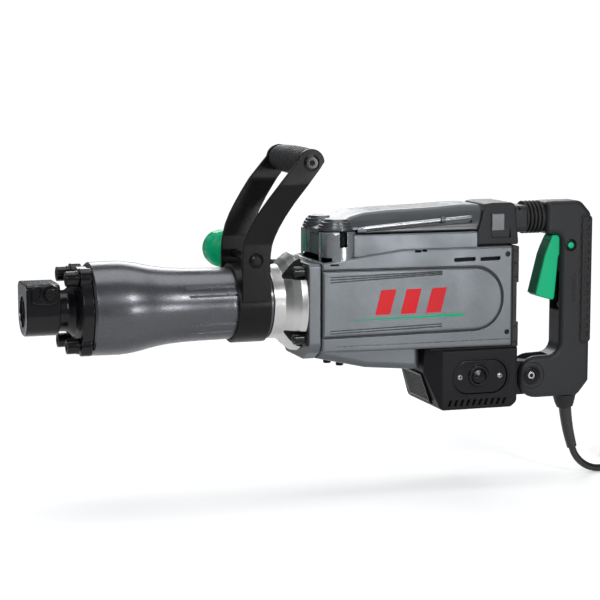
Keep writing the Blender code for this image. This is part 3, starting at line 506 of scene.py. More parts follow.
def finish_surface(name, colour, rough, metallic=0.0, tint=0.12, rough_range=0.06, grain=900.0, grain_depth=0.00003,
        grain_strength=0.25, edge=0.0007, wear_and_highlight=None, wear_and_highlight_amount=0.5, coat=0.0, coat_rough=0.15,
        stretch=None, waves=None, specular=0.5, speckle=None):
    s = Surface(name)
    shader = s.shader
    shader.inputs["Metallic"].default_value = metallic
    shader.inputs["Coat Weight"].default_value = coat
    shader.inputs["Coat Roughness"].default_value = coat_rough
    shader.inputs["Specular IOR Level"].default_value = specular
    cloud = s.remap(s.noise(9.0, 3.0), 0.0, 1.0)
    fine = s.noise(grain, 2.0, 0.5, stretch)
    dark = tuple(c * (1 - tint) for c in colour)
    light = tuple(min(1.0, c * (1 + tint)) for c in colour)
    base = s.blend(cloud, dark, light)
    if speckle:
        flakes = s.remap(s.noise(2600.0, 1.0), 0.0, 1.0, 0.56, 0.66)
        base = s.blend(flakes, base, speckle)
    rounded_normal = s.add("ShaderNodeBevel", samples=6)
    rounded_normal.inputs["Radius"].default_value = edge
    # Edges turn lighter in patches: partly edge wear, partly a painted edge highlight.
    if wear_and_highlight:
        geometry = s.add("ShaderNodeNewGeometry")
        dot = s.add("ShaderNodeVectorMath", operation="DOT_PRODUCT")
        s.link(rounded_normal.outputs["Normal"], dot.inputs[0])
        s.link(geometry.outputs["Normal"], dot.inputs[1])
        edge_wear_and_highlight_mask = s.remap(dot.outputs["Value"], 1.0, 0.0, 0.82, 0.985)
        scuff_and_highlight = s.add("ShaderNodeMath", operation="MULTIPLY")
        s.link(edge_wear_and_highlight_mask, scuff_and_highlight.inputs[0])
        s.link(s.remap(s.noise(140.0, 5.0, 0.7), 0.0, wear_and_highlight_amount, 0.42, 0.68), scuff_and_highlight.inputs[1])
        base = s.blend(scuff_and_highlight.outputs["Value"], base, wear_and_highlight)
    s.link(base, shader.inputs["Base Color"])
    s.link(s.remap(s.noise(26.0, 5.0, 0.65), rough - rough_range, rough + rough_range), shader.inputs["Roughness"])
    bump = s.add("ShaderNodeBump")
    bump.inputs["Strength"].default_value = grain_strength
    bump.inputs["Distance"].default_value = grain_depth
    s.link(fine, bump.inputs["Height"])
    s.link(rounded_normal.outputs["Normal"], bump.inputs["Normal"])
    normal = bump.outputs["Normal"]
    if waves:
        axis, scale, depth = waves
        wave = s.add("ShaderNodeTexWave", wave_type="BANDS", bands_direction=axis)
        wave.inputs["Scale"].default_value = scale
        wave.inputs["Distortion"].default_value = 0.0
        s.link(s.coords, wave.inputs["Vector"])
        second = s.add("ShaderNodeBump")
        second.inputs["Strength"].default_value = 0.8
        second.inputs["Distance"].default_value = depth
        s.link(wave.outputs["Fac"], second.inputs["Height"])
        s.link(normal, second.inputs["Normal"])
        normal = second.outputs["Normal"]
    s.link(normal, shader.inputs["Normal"])
    return s.mat


def make_materials():
    # Each wear colour lightens the edges: edge wear and a painted edge highlight.
    return {
        "black_gloss": finish_surface("black_gloss", (0.005, 0.005, 0.006), 0.22, 0.0, grain=500, grain_strength=0.12,
            wear_and_highlight=(0.22, 0.22, 0.23), wear_and_highlight_amount=0.30, coat=0.25, coat_rough=0.10,
            specular=0.20),
        "black_satin": finish_surface("black_satin", (0.006, 0.006, 0.006), 0.30, 0.0, grain=700,
            wear_and_highlight=(0.22, 0.22, 0.23), wear_and_highlight_amount=0.40, edge=0.0009, specular=0.18),
        "barrel": finish_surface("barrel_paint", (0.098, 0.100, 0.110), 0.27, 0.80, tint=0.10, rough_range=0.05,
            grain=1300, grain_strength=0.22, speckle=(0.15, 0.153, 0.165),
            wear_and_highlight=(0.45, 0.45, 0.46), wear_and_highlight_amount=0.35),
        "case": finish_surface("case_paint", (0.128, 0.139, 0.150), 0.35, 0.78, tint=0.10, rough_range=0.06,
            grain=1100, grain_strength=0.30, speckle=(0.19, 0.203, 0.216),
            wear_and_highlight=(0.62, 0.63, 0.64), wear_and_highlight_amount=0.55, edge=0.0010),
        "roof": finish_surface("roof_paint", (0.105, 0.112, 0.119), 0.33, 0.75, tint=0.12, grain=1100,
            grain_strength=0.26, speckle=(0.16, 0.168, 0.175), wear_and_highlight=(0.55, 0.56, 0.57),
            wear_and_highlight_amount=0.5, edge=0.0012),
        # Painted shade: near-black on the walls of grooves, seams and gaps in the grey casings.
        "painted_groove_shade": finish_surface("painted_groove_shade", (0.035, 0.037, 0.041), 0.36, 0.5, tint=0.12, grain=900),
        "aluminium": finish_surface("bare_aluminium", (0.60, 0.597, 0.585), 0.30, 1.0, tint=0.05, grain=260,
            grain_strength=0.20, stretch=(60.0, 2.0, 2.0), edge=0.0006),
        "machined": finish_surface("machined_steel", (0.50, 0.50, 0.51), 0.26, 1.0, tint=0.06, grain=420,
            grain_strength=0.20, stretch=(40.0, 3.0, 3.0), edge=0.0005),
        # Bright metal for the side bosses, and a painted highlight along the roof cover's edge beads.
        "polish_and_painted_highlight": finish_surface("polished_metal_and_painted_highlight", (0.42, 0.44, 0.46), 0.24, 0.85, tint=0.05, grain=700,
            grain_strength=0.12, edge=0.0005),
        "bore_steel": finish_surface("bore_steel", (0.030, 0.030, 0.032), 0.34, 0.8, tint=0.08, grain=500,
            grain_strength=0.2, stretch=(20.0, 4.0, 4.0), edge=0.0005),
        "steel": finish_surface("ground_steel", (0.42, 0.42, 0.43), 0.30, 1.0, tint=0.08, grain=500,
            grain_strength=0.2, stretch=(20.0, 4.0, 4.0), edge=0.0005),
        "plastic": finish_surface("charcoal_plastic", (0.018, 0.0185, 0.021), 0.42, 0.0, tint=0.10, rough_range=0.05,
            grain=1500, grain_depth=0.00006, grain_strength=0.55, edge=0.0012,
            wear_and_highlight=(0.060, 0.061, 0.065), wear_and_highlight_amount=0.5, specular=0.30),
        # A darker copy of the charcoal plastic: painted shade for the tail cover.
        "plastic_painted_shade": finish_surface("tail_plastic_painted_shade", (0.0085, 0.0085, 0.0100), 0.38, 0.0, tint=0.10,
            rough_range=0.05, grain=1500, grain_depth=0.00006, grain_strength=0.5,
            edge=0.0012, wear_and_highlight=(0.055, 0.055, 0.06), wear_and_highlight_amount=0.5, specular=0.16),
        "plastic_gloss": finish_surface("black_gloss_plastic", (0.004, 0.004, 0.005), 0.18, 0.0, grain=900,
            grain_strength=0.1, edge=0.0008, specular=0.26),
        "rubber": finish_surface("black_rubber", (0.0085, 0.0085, 0.009), 0.50, 0.0, grain=800, grain_depth=0.00010,
            grain_strength=0.6, edge=0.0008, specular=0.4),
        "grip": finish_surface("ribbed_rubber", (0.016, 0.016, 0.017), 0.50, 0.0, grain=420, grain_depth=0.00030,
            grain_strength=0.9, edge=0.0008, waves=("Y", 90.0, 0.0005)),
        "green": finish_surface("green_plastic", (0.0, 0.46, 0.20), 0.36, 0.0, tint=0.06, specular=0.22, grain=1400,
            grain_depth=0.00004, grain_strength=0.35, edge=0.0008,
            wear_and_highlight=(0.10, 0.55, 0.32), wear_and_highlight_amount=0.4),
        # A darker copy of the green plastic: painted shade for the trigger's front face, which faces away from the
        # light.
        "green_painted_shade": finish_surface("green_plastic_painted_shade", (0.0, 0.125, 0.062), 0.42, 0.0, tint=0.08, grain=1400,
            grain_strength=0.4, specular=0.20),
        "green_print": finish_surface("green_print", (0.0, 0.36, 0.17), 0.42, 0.0,
                tint=0.05, grain=1200, specular=0.25),
        "red_print": finish_surface("red_print", (0.62, 0.006, 0.012), 0.40, 0.0,
                tint=0.06, grain=1200, specular=0.25),
        "copper": finish_surface("winding_copper", (0.50, 0.20, 0.08), 0.40, 0.9, grain=300, grain_strength=0.5,
            stretch=(3.0, 3.0, 40.0)),
        "carbon": finish_surface("brush_carbon", (0.02, 0.02, 0.02), 0.75, 0.0, grain=600, grain_strength=0.6),
        # Near-black: the black rubber gasket, and painted shade on the walls of holes, slots and hollows and on the
        # liners behind the vents.
        "black_and_painted_shade": finish_surface("black_and_painted_recess_shade", (0.004, 0.004, 0.004), 0.8, 0.0, grain=300),
        "cable": finish_surface("cable_sheath", (0.010, 0.010, 0.011), 0.26, 0.0, tint=0.10, grain=260,
            grain_depth=0.00005, grain_strength=0.3, coat=0.3, coat_rough=0.2, edge=0.0004),
    }


def dress_cad_nodes():
    """Gives every CAD node that stays its own procedural material."""
    by_slot = {
        "black_steel": "black_satin", "gunmetal_paint": "barrel", "cast_grey_paint": "case",
        "dark_grey_paint": "roof", "bare_aluminium": "aluminium", "charcoal_plastic": "plastic",
        "black_plastic": "plastic_gloss", "black_rubber": "rubber", "green_plastic": "green",
        "ground_steel": "steel", "copper_winding": "copper", "brush_carbon": "carbon", "cable_rubber": "cable",
    }
    slots = {entry["node"]: entry["material_slot"] for entry in frame["record"]["subparts"]}
    for node, slot in slots.items():
        item = bpy.data.objects[node]
        if not item.material_slots:
            item.data.materials.append(None)
        for holder in item.material_slots:
            holder.material = mats[by_slot[slot]]


# ---------------------------------------------------------------- mains lead

def coil_level(level):
    return FLOOR + CORD_R + 2 * CORD_R * level


def cord_points():
    """Guard to floor, then eight turns in three layers, and off the top towards the plug."""
    bend, start = 43.5, math.radians(74.4)
    points = []
    for step in range(14):
        angle = start * (1 - step / 14)
        points.append(Vector((734.8 + bend * (math.sin(start) - math.sin(angle)), 0.0,
                coil_level(0) + bend * (1 - math.cos(angle)))))
    points += [Vector((776.7 + 10.83 * step, 0.0, coil_level(0))) for step in range(10)]
    for index, (here, following) in enumerate(zip(COIL_TURNS, COIL_TURNS[1:])):
        for step in range(COIL_STEPS):
            share = step / COIL_STEPS
            angle = math.radians(-90 + 360 * share)
            begin = 0.66 if here[0] == following[0] else 0.70
            change = min(max((share - begin) / (0.985 - begin), 0.0), 1.0)
            change = change * change * (3 - 2 * change)
            radius = here[0] + (following[0] - here[0]) * change
            level = here[1] + (following[1] - here[1]) * change
            if here[0] == following[0] and index < 7:
                bulge = 3.6 * math.sin(math.pi * change)
                radius += -bulge if here[0] < 50 else bulge
            if index == 7:
                rise = min(max((share - 0.60) / 0.385, 0.0), 1.0)
                level = 2 + rise * rise * (3 - 2 * rise)
            points.append(Vector((COIL_X + radius * math.cos(angle), COIL_Y + radius * math.sin(angle),
                    coil_level(level))))
    tail = [(885.0, PLUG_Y, coil_level(3)), (905.0, PLUG_Y, coil_level(3)), (925.0, PLUG_Y, coil_level(3)),
            (942.0, PLUG_Y, -218.8), (958.0, PLUG_Y, -224.6), (973.0, PLUG_Y, -231.2), (988.0, PLUG_Y, -235.7),
            (1003.5, PLUG_Y, PLUG_Z)]
    return points + smooth_route(tail, 3)


def make_lead():
    points = cord_points()
    mesh = tube_mesh(points, [CORD_R] * len(points), 14)
    cord = Work("mains_cord", mesh, "cable").done("handle", "power_cord", "cord_coil", "cord_end", smooth=60)

    plug = Work("moulded_plug", lathe_mesh([(0, 0), (0, 5.6), (1, 6.2), (3, 6.4), (3.2, 5.6), (4.8, 5.6), (5, 6.7),
            (8, 7.0), (8.2, 6.1), (9.8, 6.1), (10, 7.3), (13, 7.6), (13.2, 6.7),
            (14.8, 6.7), (15, 7.9), (25, 8.3), (25, 0)], "X",
            (1002.5, PLUG_Y, PLUG_Z), 40), "cable")
    sides = [(1016.5, 9, 3), (1028.5, 18.2, 8), (1056.5, 18.2, 3)]
    outline = [(x, PLUG_Y + y, r) for x, y, r in sides] + [(x, PLUG_Y - y, r) for x, y, r in reversed(sides)]
    plug.join(soft_plate(outline, -249.6, -223.6, "XY", 6))
    for index in range(5):
        plug.cut(box_mesh((1030 + index * 4.4, -30, -225.2), (1032 + index * 4.4, 50, -220)))
    for turn in (-1, 1):
        pin = fillet_profile([(1050, 0, 0), (1050, 2.4, 0), (1075.4, 2.4, 1.2), (1075.4, 0, 0)], 4)
        plug.join(lathe_mesh(pin, "X", (0, PLUG_Y + turn * 9.5, PLUG_Z), 20), mat="steel")
    plug_item = plug.done("handle", "mains_plug")

    route = [(722, 0, -141.1), (722.3, 0, -150), (723.1, 0, -157.5), (723.3, 0, -159.0)]
    collar = tube_mesh(route, [15.5, 13.4, 10.9, 8.4], 40)
    sleeve_route = smooth_route([(723.3, 0, -157.0), (725.2, 0, -172), (727.9, 0, -187), (731.3, 0, -201),
            (734.7, 0, -213)], 6)
    count = len(sleeve_route)
    radii = [8.5 - 1.9 * index / (count - 1) for index in range(count)]
    sleeve = tube_mesh(sleeve_route, radii, 32)
    plug_hole = rod_mesh(-143, -122, "Z", (722, 0), 8.6, 32)
    guard = Work("lead_guard", collar, "rubber")
    guard.join(sleeve, mat="cable")
    guard.join(plug_hole)
    guard.done("handle", "cord_guard", smooth=50)


# ---------------------------------------------------------------- nose and barrel

def socket_screw(name, node, start, end, centre, radius, hex_radius, washer):
    """A screw along X at centre (y, z): a head with a hexagonal recess, a washer (thickness, radius) and a shank."""
    last = end + washer[0]
    profile = [(start, 0, 0), (start, radius, 1.0), (end, radius, 0.3), (end, washer[1], 0.4), (last, washer[1], 0.4),
            (last, radius * 0.55, 0), (last + 12, radius * 0.55, 0), (last + 12, 0, 0)]
    work = Work(name, lathe_mesh(fillet_profile(profile, 3), "X", (0, *centre), 40), "black_gloss")
    # The hex recess's walls are painted near-black shade.
    work.cut(rod_mesh(start - 2, start + 6, "X", centre, hex_radius, 6), mat="black_and_painted_shade")
    work.done("housing", node)


def make_nose():
    block = [(-30, 35, 7), (-30, -30, 28), (30, -30, 28), (30, 35, 7)]
    nose = Work("nose_casting", soft_plate(block, 0, 41, "YZ", 1.8, 12, 3), "black_gloss")
    nose.join(lathe_mesh(fillet_profile([(35, 0, 0), (35, 24.8, 0), (52, 25.2, 6), (60, 33, 5), (63, 50, 3),
            (65, 53, 1.5), (78, 53, 1), (78, 0, 0)], 5), "X", (0, 0, -0.6), 96))
    for side in (-1, 1):
        for height in (-1, 1):
            place = (side * FLANGE_Y, height * FLANGE_Z)
            nose.join(rod_mesh(63.5, 77.2, "X", place, 12.5, 48), rounding=1.2)
            nose.cut(rod_mesh(50, 90, "X", place, 5.4, 24))
    boss = rounded([(6, 13, 5), (6, 34, 5), (39, 34, 5), (39, 9, 12)], 6)
    nose.join(plate_mesh(boss, -34.5, -20, "XZ"), rounding=1.5)
    nose.join(rod_mesh(-37, -20, "Y", (26.5, 23.4), 13.2, 6, phase=0.26), rounding=1.0)
    nose.cut(rod_mesh(-1, 92, "X", (0, 0), 19, 72), mat="black_satin")
    nose.cut(rod_mesh(-60, 60, "Y", CROSS_PIN_XZ, 7.9, 36))
    nose.done("housing", "tool_retainer")

    face = rounded([(-28.2, 33.2, 5.5), (-28.2, -28.2, 26.4), (28.2, -28.2, 26.4), (28.2, 33.2, 5.5)], 12)
    ring = Work("nose_face_ring", plate_mesh(face, -0.5, 0.6, "YZ"), "machined").bevel(0.3, 1, 60)
    ring.cut(rod_mesh(-4, 4, "X", (0, 0), 20.2, 72))
    ring.done("housing", slot="ground_steel")

    sleeve = Work("hex_sleeve", rod_mesh(2, 76, "X", (0, 0), 18.7, 64), "bore_steel")
    sleeve.cut(rod_mesh(-1, 90, "X", (0, 0), 15.3 / math.cos(math.pi / 6), 6, phase=math.pi / 6))
    sleeve.cut(lathe_mesh([(1, 0), (1, 18.2), (5.5, 15.0), (5.5, 0)], "X", (0, 0, 0), 48))
    sleeve.cut(rod_mesh(-60, 60, "Y", CROSS_PIN_XZ, 7.9, 24))
    sleeve.done("housing", "hex_bushing")

    profile = fillet_profile([(-34, 0, 0), (-34, 7.6, 1), (39.4, 7.6, 0.6), (42.6, 6.4, 1.4), (42.6, 0, 0)], 4)
    pin = Work("retainer_cross_pin", lathe_mesh(profile, "-Y", on_middle(CROSS_PIN_XZ), 48), "black_satin")
    pin.cut(box_mesh((15, -13, 12.5), (39, 13, 23)))
    pin.cut(box_mesh((19, -44, 24.0), (35, -41.2, 25.0)))
    pin.done("retainer_pin", "retainer_pin")

    for index in range(4):
        side, height = (-1, 1)[index % 2], (1, -1)[index // 2]
        socket_screw(f"flange_screw_{index + 1}", f"flange_bolt_{index + 1}", 47, 59.2,
                (side * FLANGE_Y, height * FLANGE_Z), 9, 5.6, (2.4, 9.7))


def barrel_radius(x):
    knots = [(78.4, 57.0), (96, 57.5), (110, 57.7), (124, 57.3), (140, 54.6), (158, 50.4), (176, 47.5), (196, 45.9),
            (218, 45.2), (250, 44.8), (304, 44.5)]
    for (x0, r0), (x1, r1) in zip(knots, knots[1:]):
        if x <= x1:
            t = (x - x0) / (x1 - x0)
            return r0 + (r1 - r0) * t
    return knots[-1][1]


def make_barrel():
    samples = [84 + 3.0 * step for step in range(58)]
    smooth = []
    for x in samples:
        near = [barrel_radius(x + shift) for shift in (-8, -4, 0, 4, 8)]
        smooth.append((x, (near[0] + 2 * near[1] + 3 * near[2] + 2 * near[3] + near[4]) / 9))
    profile = [(78.4, 38), (78.4, 54.4), (79.0, 55.2), (81.2, 57.2)] + smooth
    profile += [(256, 44.5), (304, 44.5), (304, 34), (150, 34), (148, 15.4), (100, 15.4), (98, 38)]
    barrel = Work("barrel_shell", lathe_mesh(profile, "X", (0, 0, 0), 128), "barrel")
    for turn in (-1, 1):
        for start, height in ((194, 25.4), (197, 15.2), (199, -19.0), (203, -30.4)):
            depth = math.sqrt(45.0 ** 2 - height ** 2) - 1.5
            groove = rounded([(start, height - 1.3, 1.2), (262, height - 1.3, 0.1), (262, height + 1.3, 0.1),
                    (start, height + 1.3, 1.2)], 4)
            barrel.cut(side_plate(groove, turn, depth, 60), mat="barrel")
    for side in (-1, 1):
        for height in (-1, 1):
            barrel.cut(rod_mesh(60, 99.5, "X", (side * FLANGE_Y, height * FLANGE_Z), 5.4, 24))
    barrel.done("housing", "barrel", smooth=30)


def make_neck():
    profile = fillet_profile([(304.4, 34, 0), (304.4, 46.2, 1.2), (319, 46.8, 1.0), (321, 48.6, 1), (327, 54.5, 5),
            (336, 61.5, 5), (343.6, 63.5, 1), (343.6, 34, 0)], 5)
    neck = Work("neck_shell", lathe_mesh(profile, "X", (0, 0, 0), 120), "aluminium")
    for turn in (-1, 1):
        top = rounded([(turn * 29, 32, 5), (turn * 29, 58, 3), (turn * 66, 58, 3), (turn * 66, 32, 5)], 5)
        low = rounded([(turn * 32, -32, 5), (turn * 66, -32, 5), (turn * 66, -60, 3), (turn * 32, -60, 3)], 5)
        for outline in (top, low):
            wedge = plate_mesh(outline, 318, 350, "YZ")
            # The pockets' walls are painted near-black shade.
            neck.cut(wedge, mat="black_and_painted_shade", rounding=1.5)
    neck.done("housing", "gear_neck", smooth=32)
    for index, (side, height) in enumerate(((-1, 1), (1, 1), (-1, -1), (1, -1))):
        socket_screw(f"neck_screw_{index + 1}", f"neck_bolt_{index + 1}", 327.7, 341,
                (side * 47.0, 41.0 if height > 0 else -42.0), 7.0, 4.0, (2.2, 8.6))
    for index, turn in enumerate((-1, 1)):
        for high in (True, False):
            z = 41.0 if high else -42.0
            # Near-black plates at the back of the neck pockets.
            plate = side_box(turn, 31, 59, (342.2, 343.7), (z - 8, z + 8))
            Work(f"neck_pocket_{index}_{int(high)}", plate, "black_and_painted_shade").done("housing", slot="black_steel")


# ---------------------------------------------------------------- gear housing

def pod_corners(grow=0.0, front=360.9):
    return [(front, 42.5 + grow, 0.2), (front, -40.5 - grow, 0.2), (603 + grow, -38.5 - grow, 38.4 + grow),
            (603 + grow, 40.5 + grow, 38.4 + grow)]


def make_case():
    outline = [(-60, 52, 6), (-60, -56, 16), (-34, -70, 14), (34, -70, 14), (60, -56, 16), (60, 52, 6)]
    band = Work("front_band", soft_plate(outline, 344, 360.2, "YZ", 1.8), "case")
    # The bore's wall is painted near-black shade.
    band.cut(rod_mesh(330, 370, "X", (0, 0), 34, 64), mat="black_and_painted_shade")
    band.done("housing", "front_frame")

    side = [(360.7, 52, 3), (392, 56, 30), (470, 66, 60), (618, 66, 3), (618, -62, 3), (360.7, -60, 3)]
    case = Work("gear_case", soft_plate(side, -60, 60, "XZ", 3.2), "case")
    belly = [(360.8, -50, 1), (360.8, -70, 1), (428, -85, 24), (486, -90, 12), (500, -90, 3), (500, -50, 1)]
    case.join(soft_plate(belly, -40, 40, "XZ", 9, segments=6))
    block = [(372, 45, 1), (372, 85.4, 3), (573, 85.4, 3), (573, 45, 1)]
    case.join(soft_plate(block, -53, 53, "XZ", 2.6))
    for turn in (-1, 1):
        boss = fillet_profile([(50, 0, 0), (50, 23.5, 0), (89.6, 23.5, 3.4), (90.0, 0, 0)], 6)
        # The boss takes the same bright metal.
        case.join(lathe_mesh(boss, "Z", (BOSS_X, turn * 36, 0), 72), mat="polish_and_painted_highlight")
        # The groove round each pod has painted shade on its walls.
        case.cut(side_plate(rounded(pod_corners(2.2, 350.0), 20), turn, 58.7, 66), mat="painted_groove_shade")
        case.join(soft_plate(pod_corners(), *mirrored(turn, 57.8, 62.9), "XZ", 3.4, 20))
    # Walls of the hollows, slots and holes cut below are painted near-black shade.
    case.cut(box_mesh((366.5, -55, -57), (614.5, 55, 58)), mat="black_and_painted_shade")
    case.cut(box_mesh((418, -48, 50), (565, 48, 95)), mat="black_and_painted_shade")
    case.cut(box_mesh((532, -50, -75), (614.5, 50, -50)), mat="black_and_painted_shade")
    case.cut(rod_mesh(350, 380, "X", (0, 0), 34, 48), mat="black_and_painted_shade")
    for turn in (-1, 1):
        for start, end in ((537, 566), (573, 600)):
            slot = rounded([(start, 48.2, 1.2), (end, 48.8, 1.2), (end, 53.6, 1.2), (start, 53.0, 1.2)], 3)
            case.cut(side_plate(slot, turn, 50, 70), mat="black_and_painted_shade")
        for start, end, z in ((484, 492, 63.2), (494, 500, 63.7)):
            case.cut(side_box(turn, 51.6, 60, (start, end), (z - 1.2, z + 1.6)), mat="black_and_painted_shade")
        case.cut(side_box(turn, 58.4, 62, (372, 383), (48.4, 50.6)), mat="black_and_painted_shade")
        # The speed-line grooves have painted shade on their walls.
        for z0, z1 in ((28.2, 33.6), (31.4, 35.4), (34.6, 37.2), (-32.6, -29.4), (-35.8, -32.4)):
            line = [(371, z0 - 0.55), (519, z1 - 0.75), (520, z1), (519, z1 + 0.75), (371, z0 + 0.55)]
            case.cut(side_plate(line, turn, 62.1, 70), mat="painted_groove_shade")
        case.cut(side_box(turn, 59.3, 70, (380, 618.5), (-53.4, -52.6)), mat="case")
        case.cut(rod_mesh(71, 95, "Z", (BOSS_X, turn * 54), 5.6, 28), mat="black_and_painted_shade")
        case.cut(side_box(turn, 54, 66, (384.6, 394.4), (71, 95)), mat="black_and_painted_shade")
        for z in (-44, 56):
            case.cut(lathe_mesh([(0, 0), (0, 3.4), (2.4, 3.4), (2.4, 0)], "Y", (610.5, turn * 60 - 1.2, z), 24),
                    mat="black_satin")
    for x, depth in ((388, -80), (405, -84)):
        case.cut(rod_mesh(depth - 6, -60, "Z", (x, 0), 3.4, 16))
    case.done("housing", "main_housing", smooth=34)

    # The gasket is black rubber, in the same near-black.
    gasket = Work("motor_gasket", box_mesh((506.5, -56.8, -64.2), (626.5, 56.8, -62.2)), "black_and_painted_shade")
    gasket.cut(box_mesh((512, -51.5, -70), (621, 51.5, -60)))
    gasket.done("housing", slot="black_rubber")
    for turn, label in ((-1, "left"), (1, "right")):
        # Near-black liners behind the vent slots: painted shade inside the case.
        liner = side_box(turn, 53.8, 54.8, (532, 605), (44.5, 56.5))
        Work(f"vent_liner_{label}", liner, "black_and_painted_shade").done("housing", slot="black_plastic")
        line = [(400, -20.2), (544, -20.4), (551, -18.3), (548, -16.6), (400, -19.5)]
        Work(f"side_line_{label}", side_plate(line, turn, 62.7, 63.25), "green_print").done(
            "housing", slot="green_plastic")
        bars = []
        for start in (430, 464, 498):
            bar = [(start, -14.5), (start + 20, -14.0), (start + 28, 17.0), (start + 8, 16.5)]
            bars.append(side_plate(bar, turn, 62.7, 63.25))
        Work(f"side_bars_{label}", join_meshes(bars), "red_print").done("housing", slot="green_plastic")


def make_roof():
    roof = [(368, 85.9, 0.5), (369, 91, 3), (406, 107.6, 9), (424, 111.4, 16), (455, 113.8, 40), (515, 115.8, 40),
            (556, 118.2, 6), (588, 117.8, 5), (573.4, 85.9, 0.5)]
    cover = sliced(soft_plate(roof, -47, 47, "XZ", 2.8), 94, 102, 110)
    work = Work("roof_cover", drawn_in(cover, 94, 24, 0.36, 1.2), "roof")
    # The hollow under the cover has walls painted near-black shade.
    work.cut(box_mesh((424, -28, 70), (562, 28, 103)), mat="black_and_painted_shade")
    for turn in (-1, 1):
        # The gap round each boss has painted shade on its walls.
        work.cut(lathe_mesh([(60, 0), (60, 24.9), (91.2, 24.9), (91.2, 0)], "Z", (BOSS_X, turn * 36, 0), 72),
                mat="painted_groove_shade")
        dome = fillet_profile([(90.4, 0, 0), (90.4, 23.4, 0.6), (93.6, 23.2, 0.4), (94.2, 22.0, 0.3),
                (97.2, 21.4, 0.4), (97.8, 20.0, 0.3), (100.8, 19.0, 0.5), (101.4, 17.4, 0.3),
                (104.6, 14.6, 2), (106.0, 0, 0)], 3)
        work.join(lathe_mesh(dome, "Z", (BOSS_X, turn * 30, 0), 72))
        z0, z1 = 90.6, 99.2
        # The side band's groove has painted shade on its walls.
        band = rounded([(424, z0 - 2.2, 1.5), (566, z1 - 3.4, 1.5), (570, z1 + 1.6, 2), (424, z0 + 1.8, 1.5)], 4)
        work.cut(side_plate(band, turn, 41.5, 60), mat="painted_groove_shade")
    # The grooves on top have painted shade on their walls.
    for y in (-18, -6, 6, 18):
        work.cut(box_mesh((432, y - 1.1, 112.4), (548, y + 1.1, 130)), mat="painted_groove_shade")
    work.done("housing", "top_cover", smooth=34)

    for turn, label in ((-1, "left"), (1, "right")):
        # The edge bead is painted bright: a painted highlight along the cover's rounded edge.
        route = smooth_route([(412, turn * 46.2, 91.6), (430, turn * 46.0, 93.6), (498, turn * 44.6, 98.4),
                (560, turn * 42.8, 102.6), (568, turn * 41.2, 103.2)], 5)
        count = len(route)
        radii = [0.6 + 2.0 * math.sin(math.pi * min(max(index / (count - 1), 0.03), 0.97)) ** 0.35
                for index in range(count)]
        Work(f"roof_rail_{label}", tube_mesh(route, radii, 20), "polish_and_painted_highlight").done("housing", slot="cast_grey_paint")
        clip = lathe_mesh(fillet_profile([(524, 0, 0), (524, 4.4, 0.8), (530, 4.4, 0.8), (530, 0, 0)], 3), "X",
                (0, turn * 44.0, 100.4), 32)
        Work(f"roof_clip_{label}", clip, "roof").done("housing", slot="dark_grey_paint")


# ---------------------------------------------------------------- rear bracket, damper and tail cover

def make_rear():
    panel = Work("back_panel", box_mesh((618.3, -57.5, -63.9), (627.6, 57.5, 65.6)), "plastic").bevel(1.6, 3)
    panel.cut(box_mesh((624.5, -70, -32), (640, 70, 19)))
    for turn in (-1, 1):
        for z in (-58, -38, 26, 44, 60):
            panel.cut(side_box(turn, 55.6, 60, (620.5, 630), (z - 0.8, z + 0.8)))
    panel.done("housing", "rear_plate")

    outline = [(573.6, 66.4, 1), (574.2, 84.5, 3), (591, 118.4, 3), (600, 119.4, 3), (631.8, 119.4, 7),
            (631.8, 66.4, 3)]
    bracket = Work("bracket_shell", drawn_in(soft_plate(outline, -46, 46, "XZ", 2.6), 84, 34, 0.26), "plastic")
    for turn in (-1, 1):
        window = rounded([(594, 76, 1.5), (621.5, 75, 1.5), (621.5, 107, 1.5), (594, 107, 1.5)], 3)
        bracket.cut(side_plate(window, turn, 40.2, 60), rounding=0.6)
    # The damper bore's wall is painted near-black shade.
    bracket.cut(rod_mesh(600, 640, "X", DAMPER_YZ, 9.8, 40), mat="black_and_painted_shade")
    bracket.done("housing", "handle_bracket")
    for turn, label in ((-1, "left"), (1, "right")):
        pad = side_box(turn, 38.5, 41.4, (596, 614), (84, 106))
        Work(f"bracket_window_{label}", pad, "roof").bevel(0.8).done("housing", slot="dark_grey_paint")

    shape = [(-26, 79, 8), (-26, 114, 8), (26, 114, 8), (26, 79, 8)]
    collar = Work("damper_housing", soft_plate(shape, 632.1, 653, "YZ", 1.6), "plastic")
    # The damper bore's wall is painted near-black shade.
    collar.cut(rod_mesh(600, 660, "X", DAMPER_YZ, 9.8, 40), mat="black_and_painted_shade")
    collar.cut(box_mesh((641, -40, 108), (643, -22, 130)), box_mesh((641, 22, 108), (643, 40, 130)))
    collar.done("housing", "damper_collar")

    ribs = []
    for index in range(5):
        crest = 654.6 + index * 5.4
        ribs += [(crest, 18.4, 0.6), (crest + 0.8, 21.4, 0.9), (crest + 3.8, 21.4, 0.9), (crest + 4.6, 18.4, 0.6)]
    ribs.append((681.7, 19.5, 0))
    profile = fillet_profile([(654.6, 16, 0)] + ribs + [(681.7, 16, 0)], 3)
    bellows = Work("bellows", lathe_mesh(profile, "X", (0, *DAMPER_YZ), 72), "rubber")
    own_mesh(bellows.done("handle", "damper_bellows"))


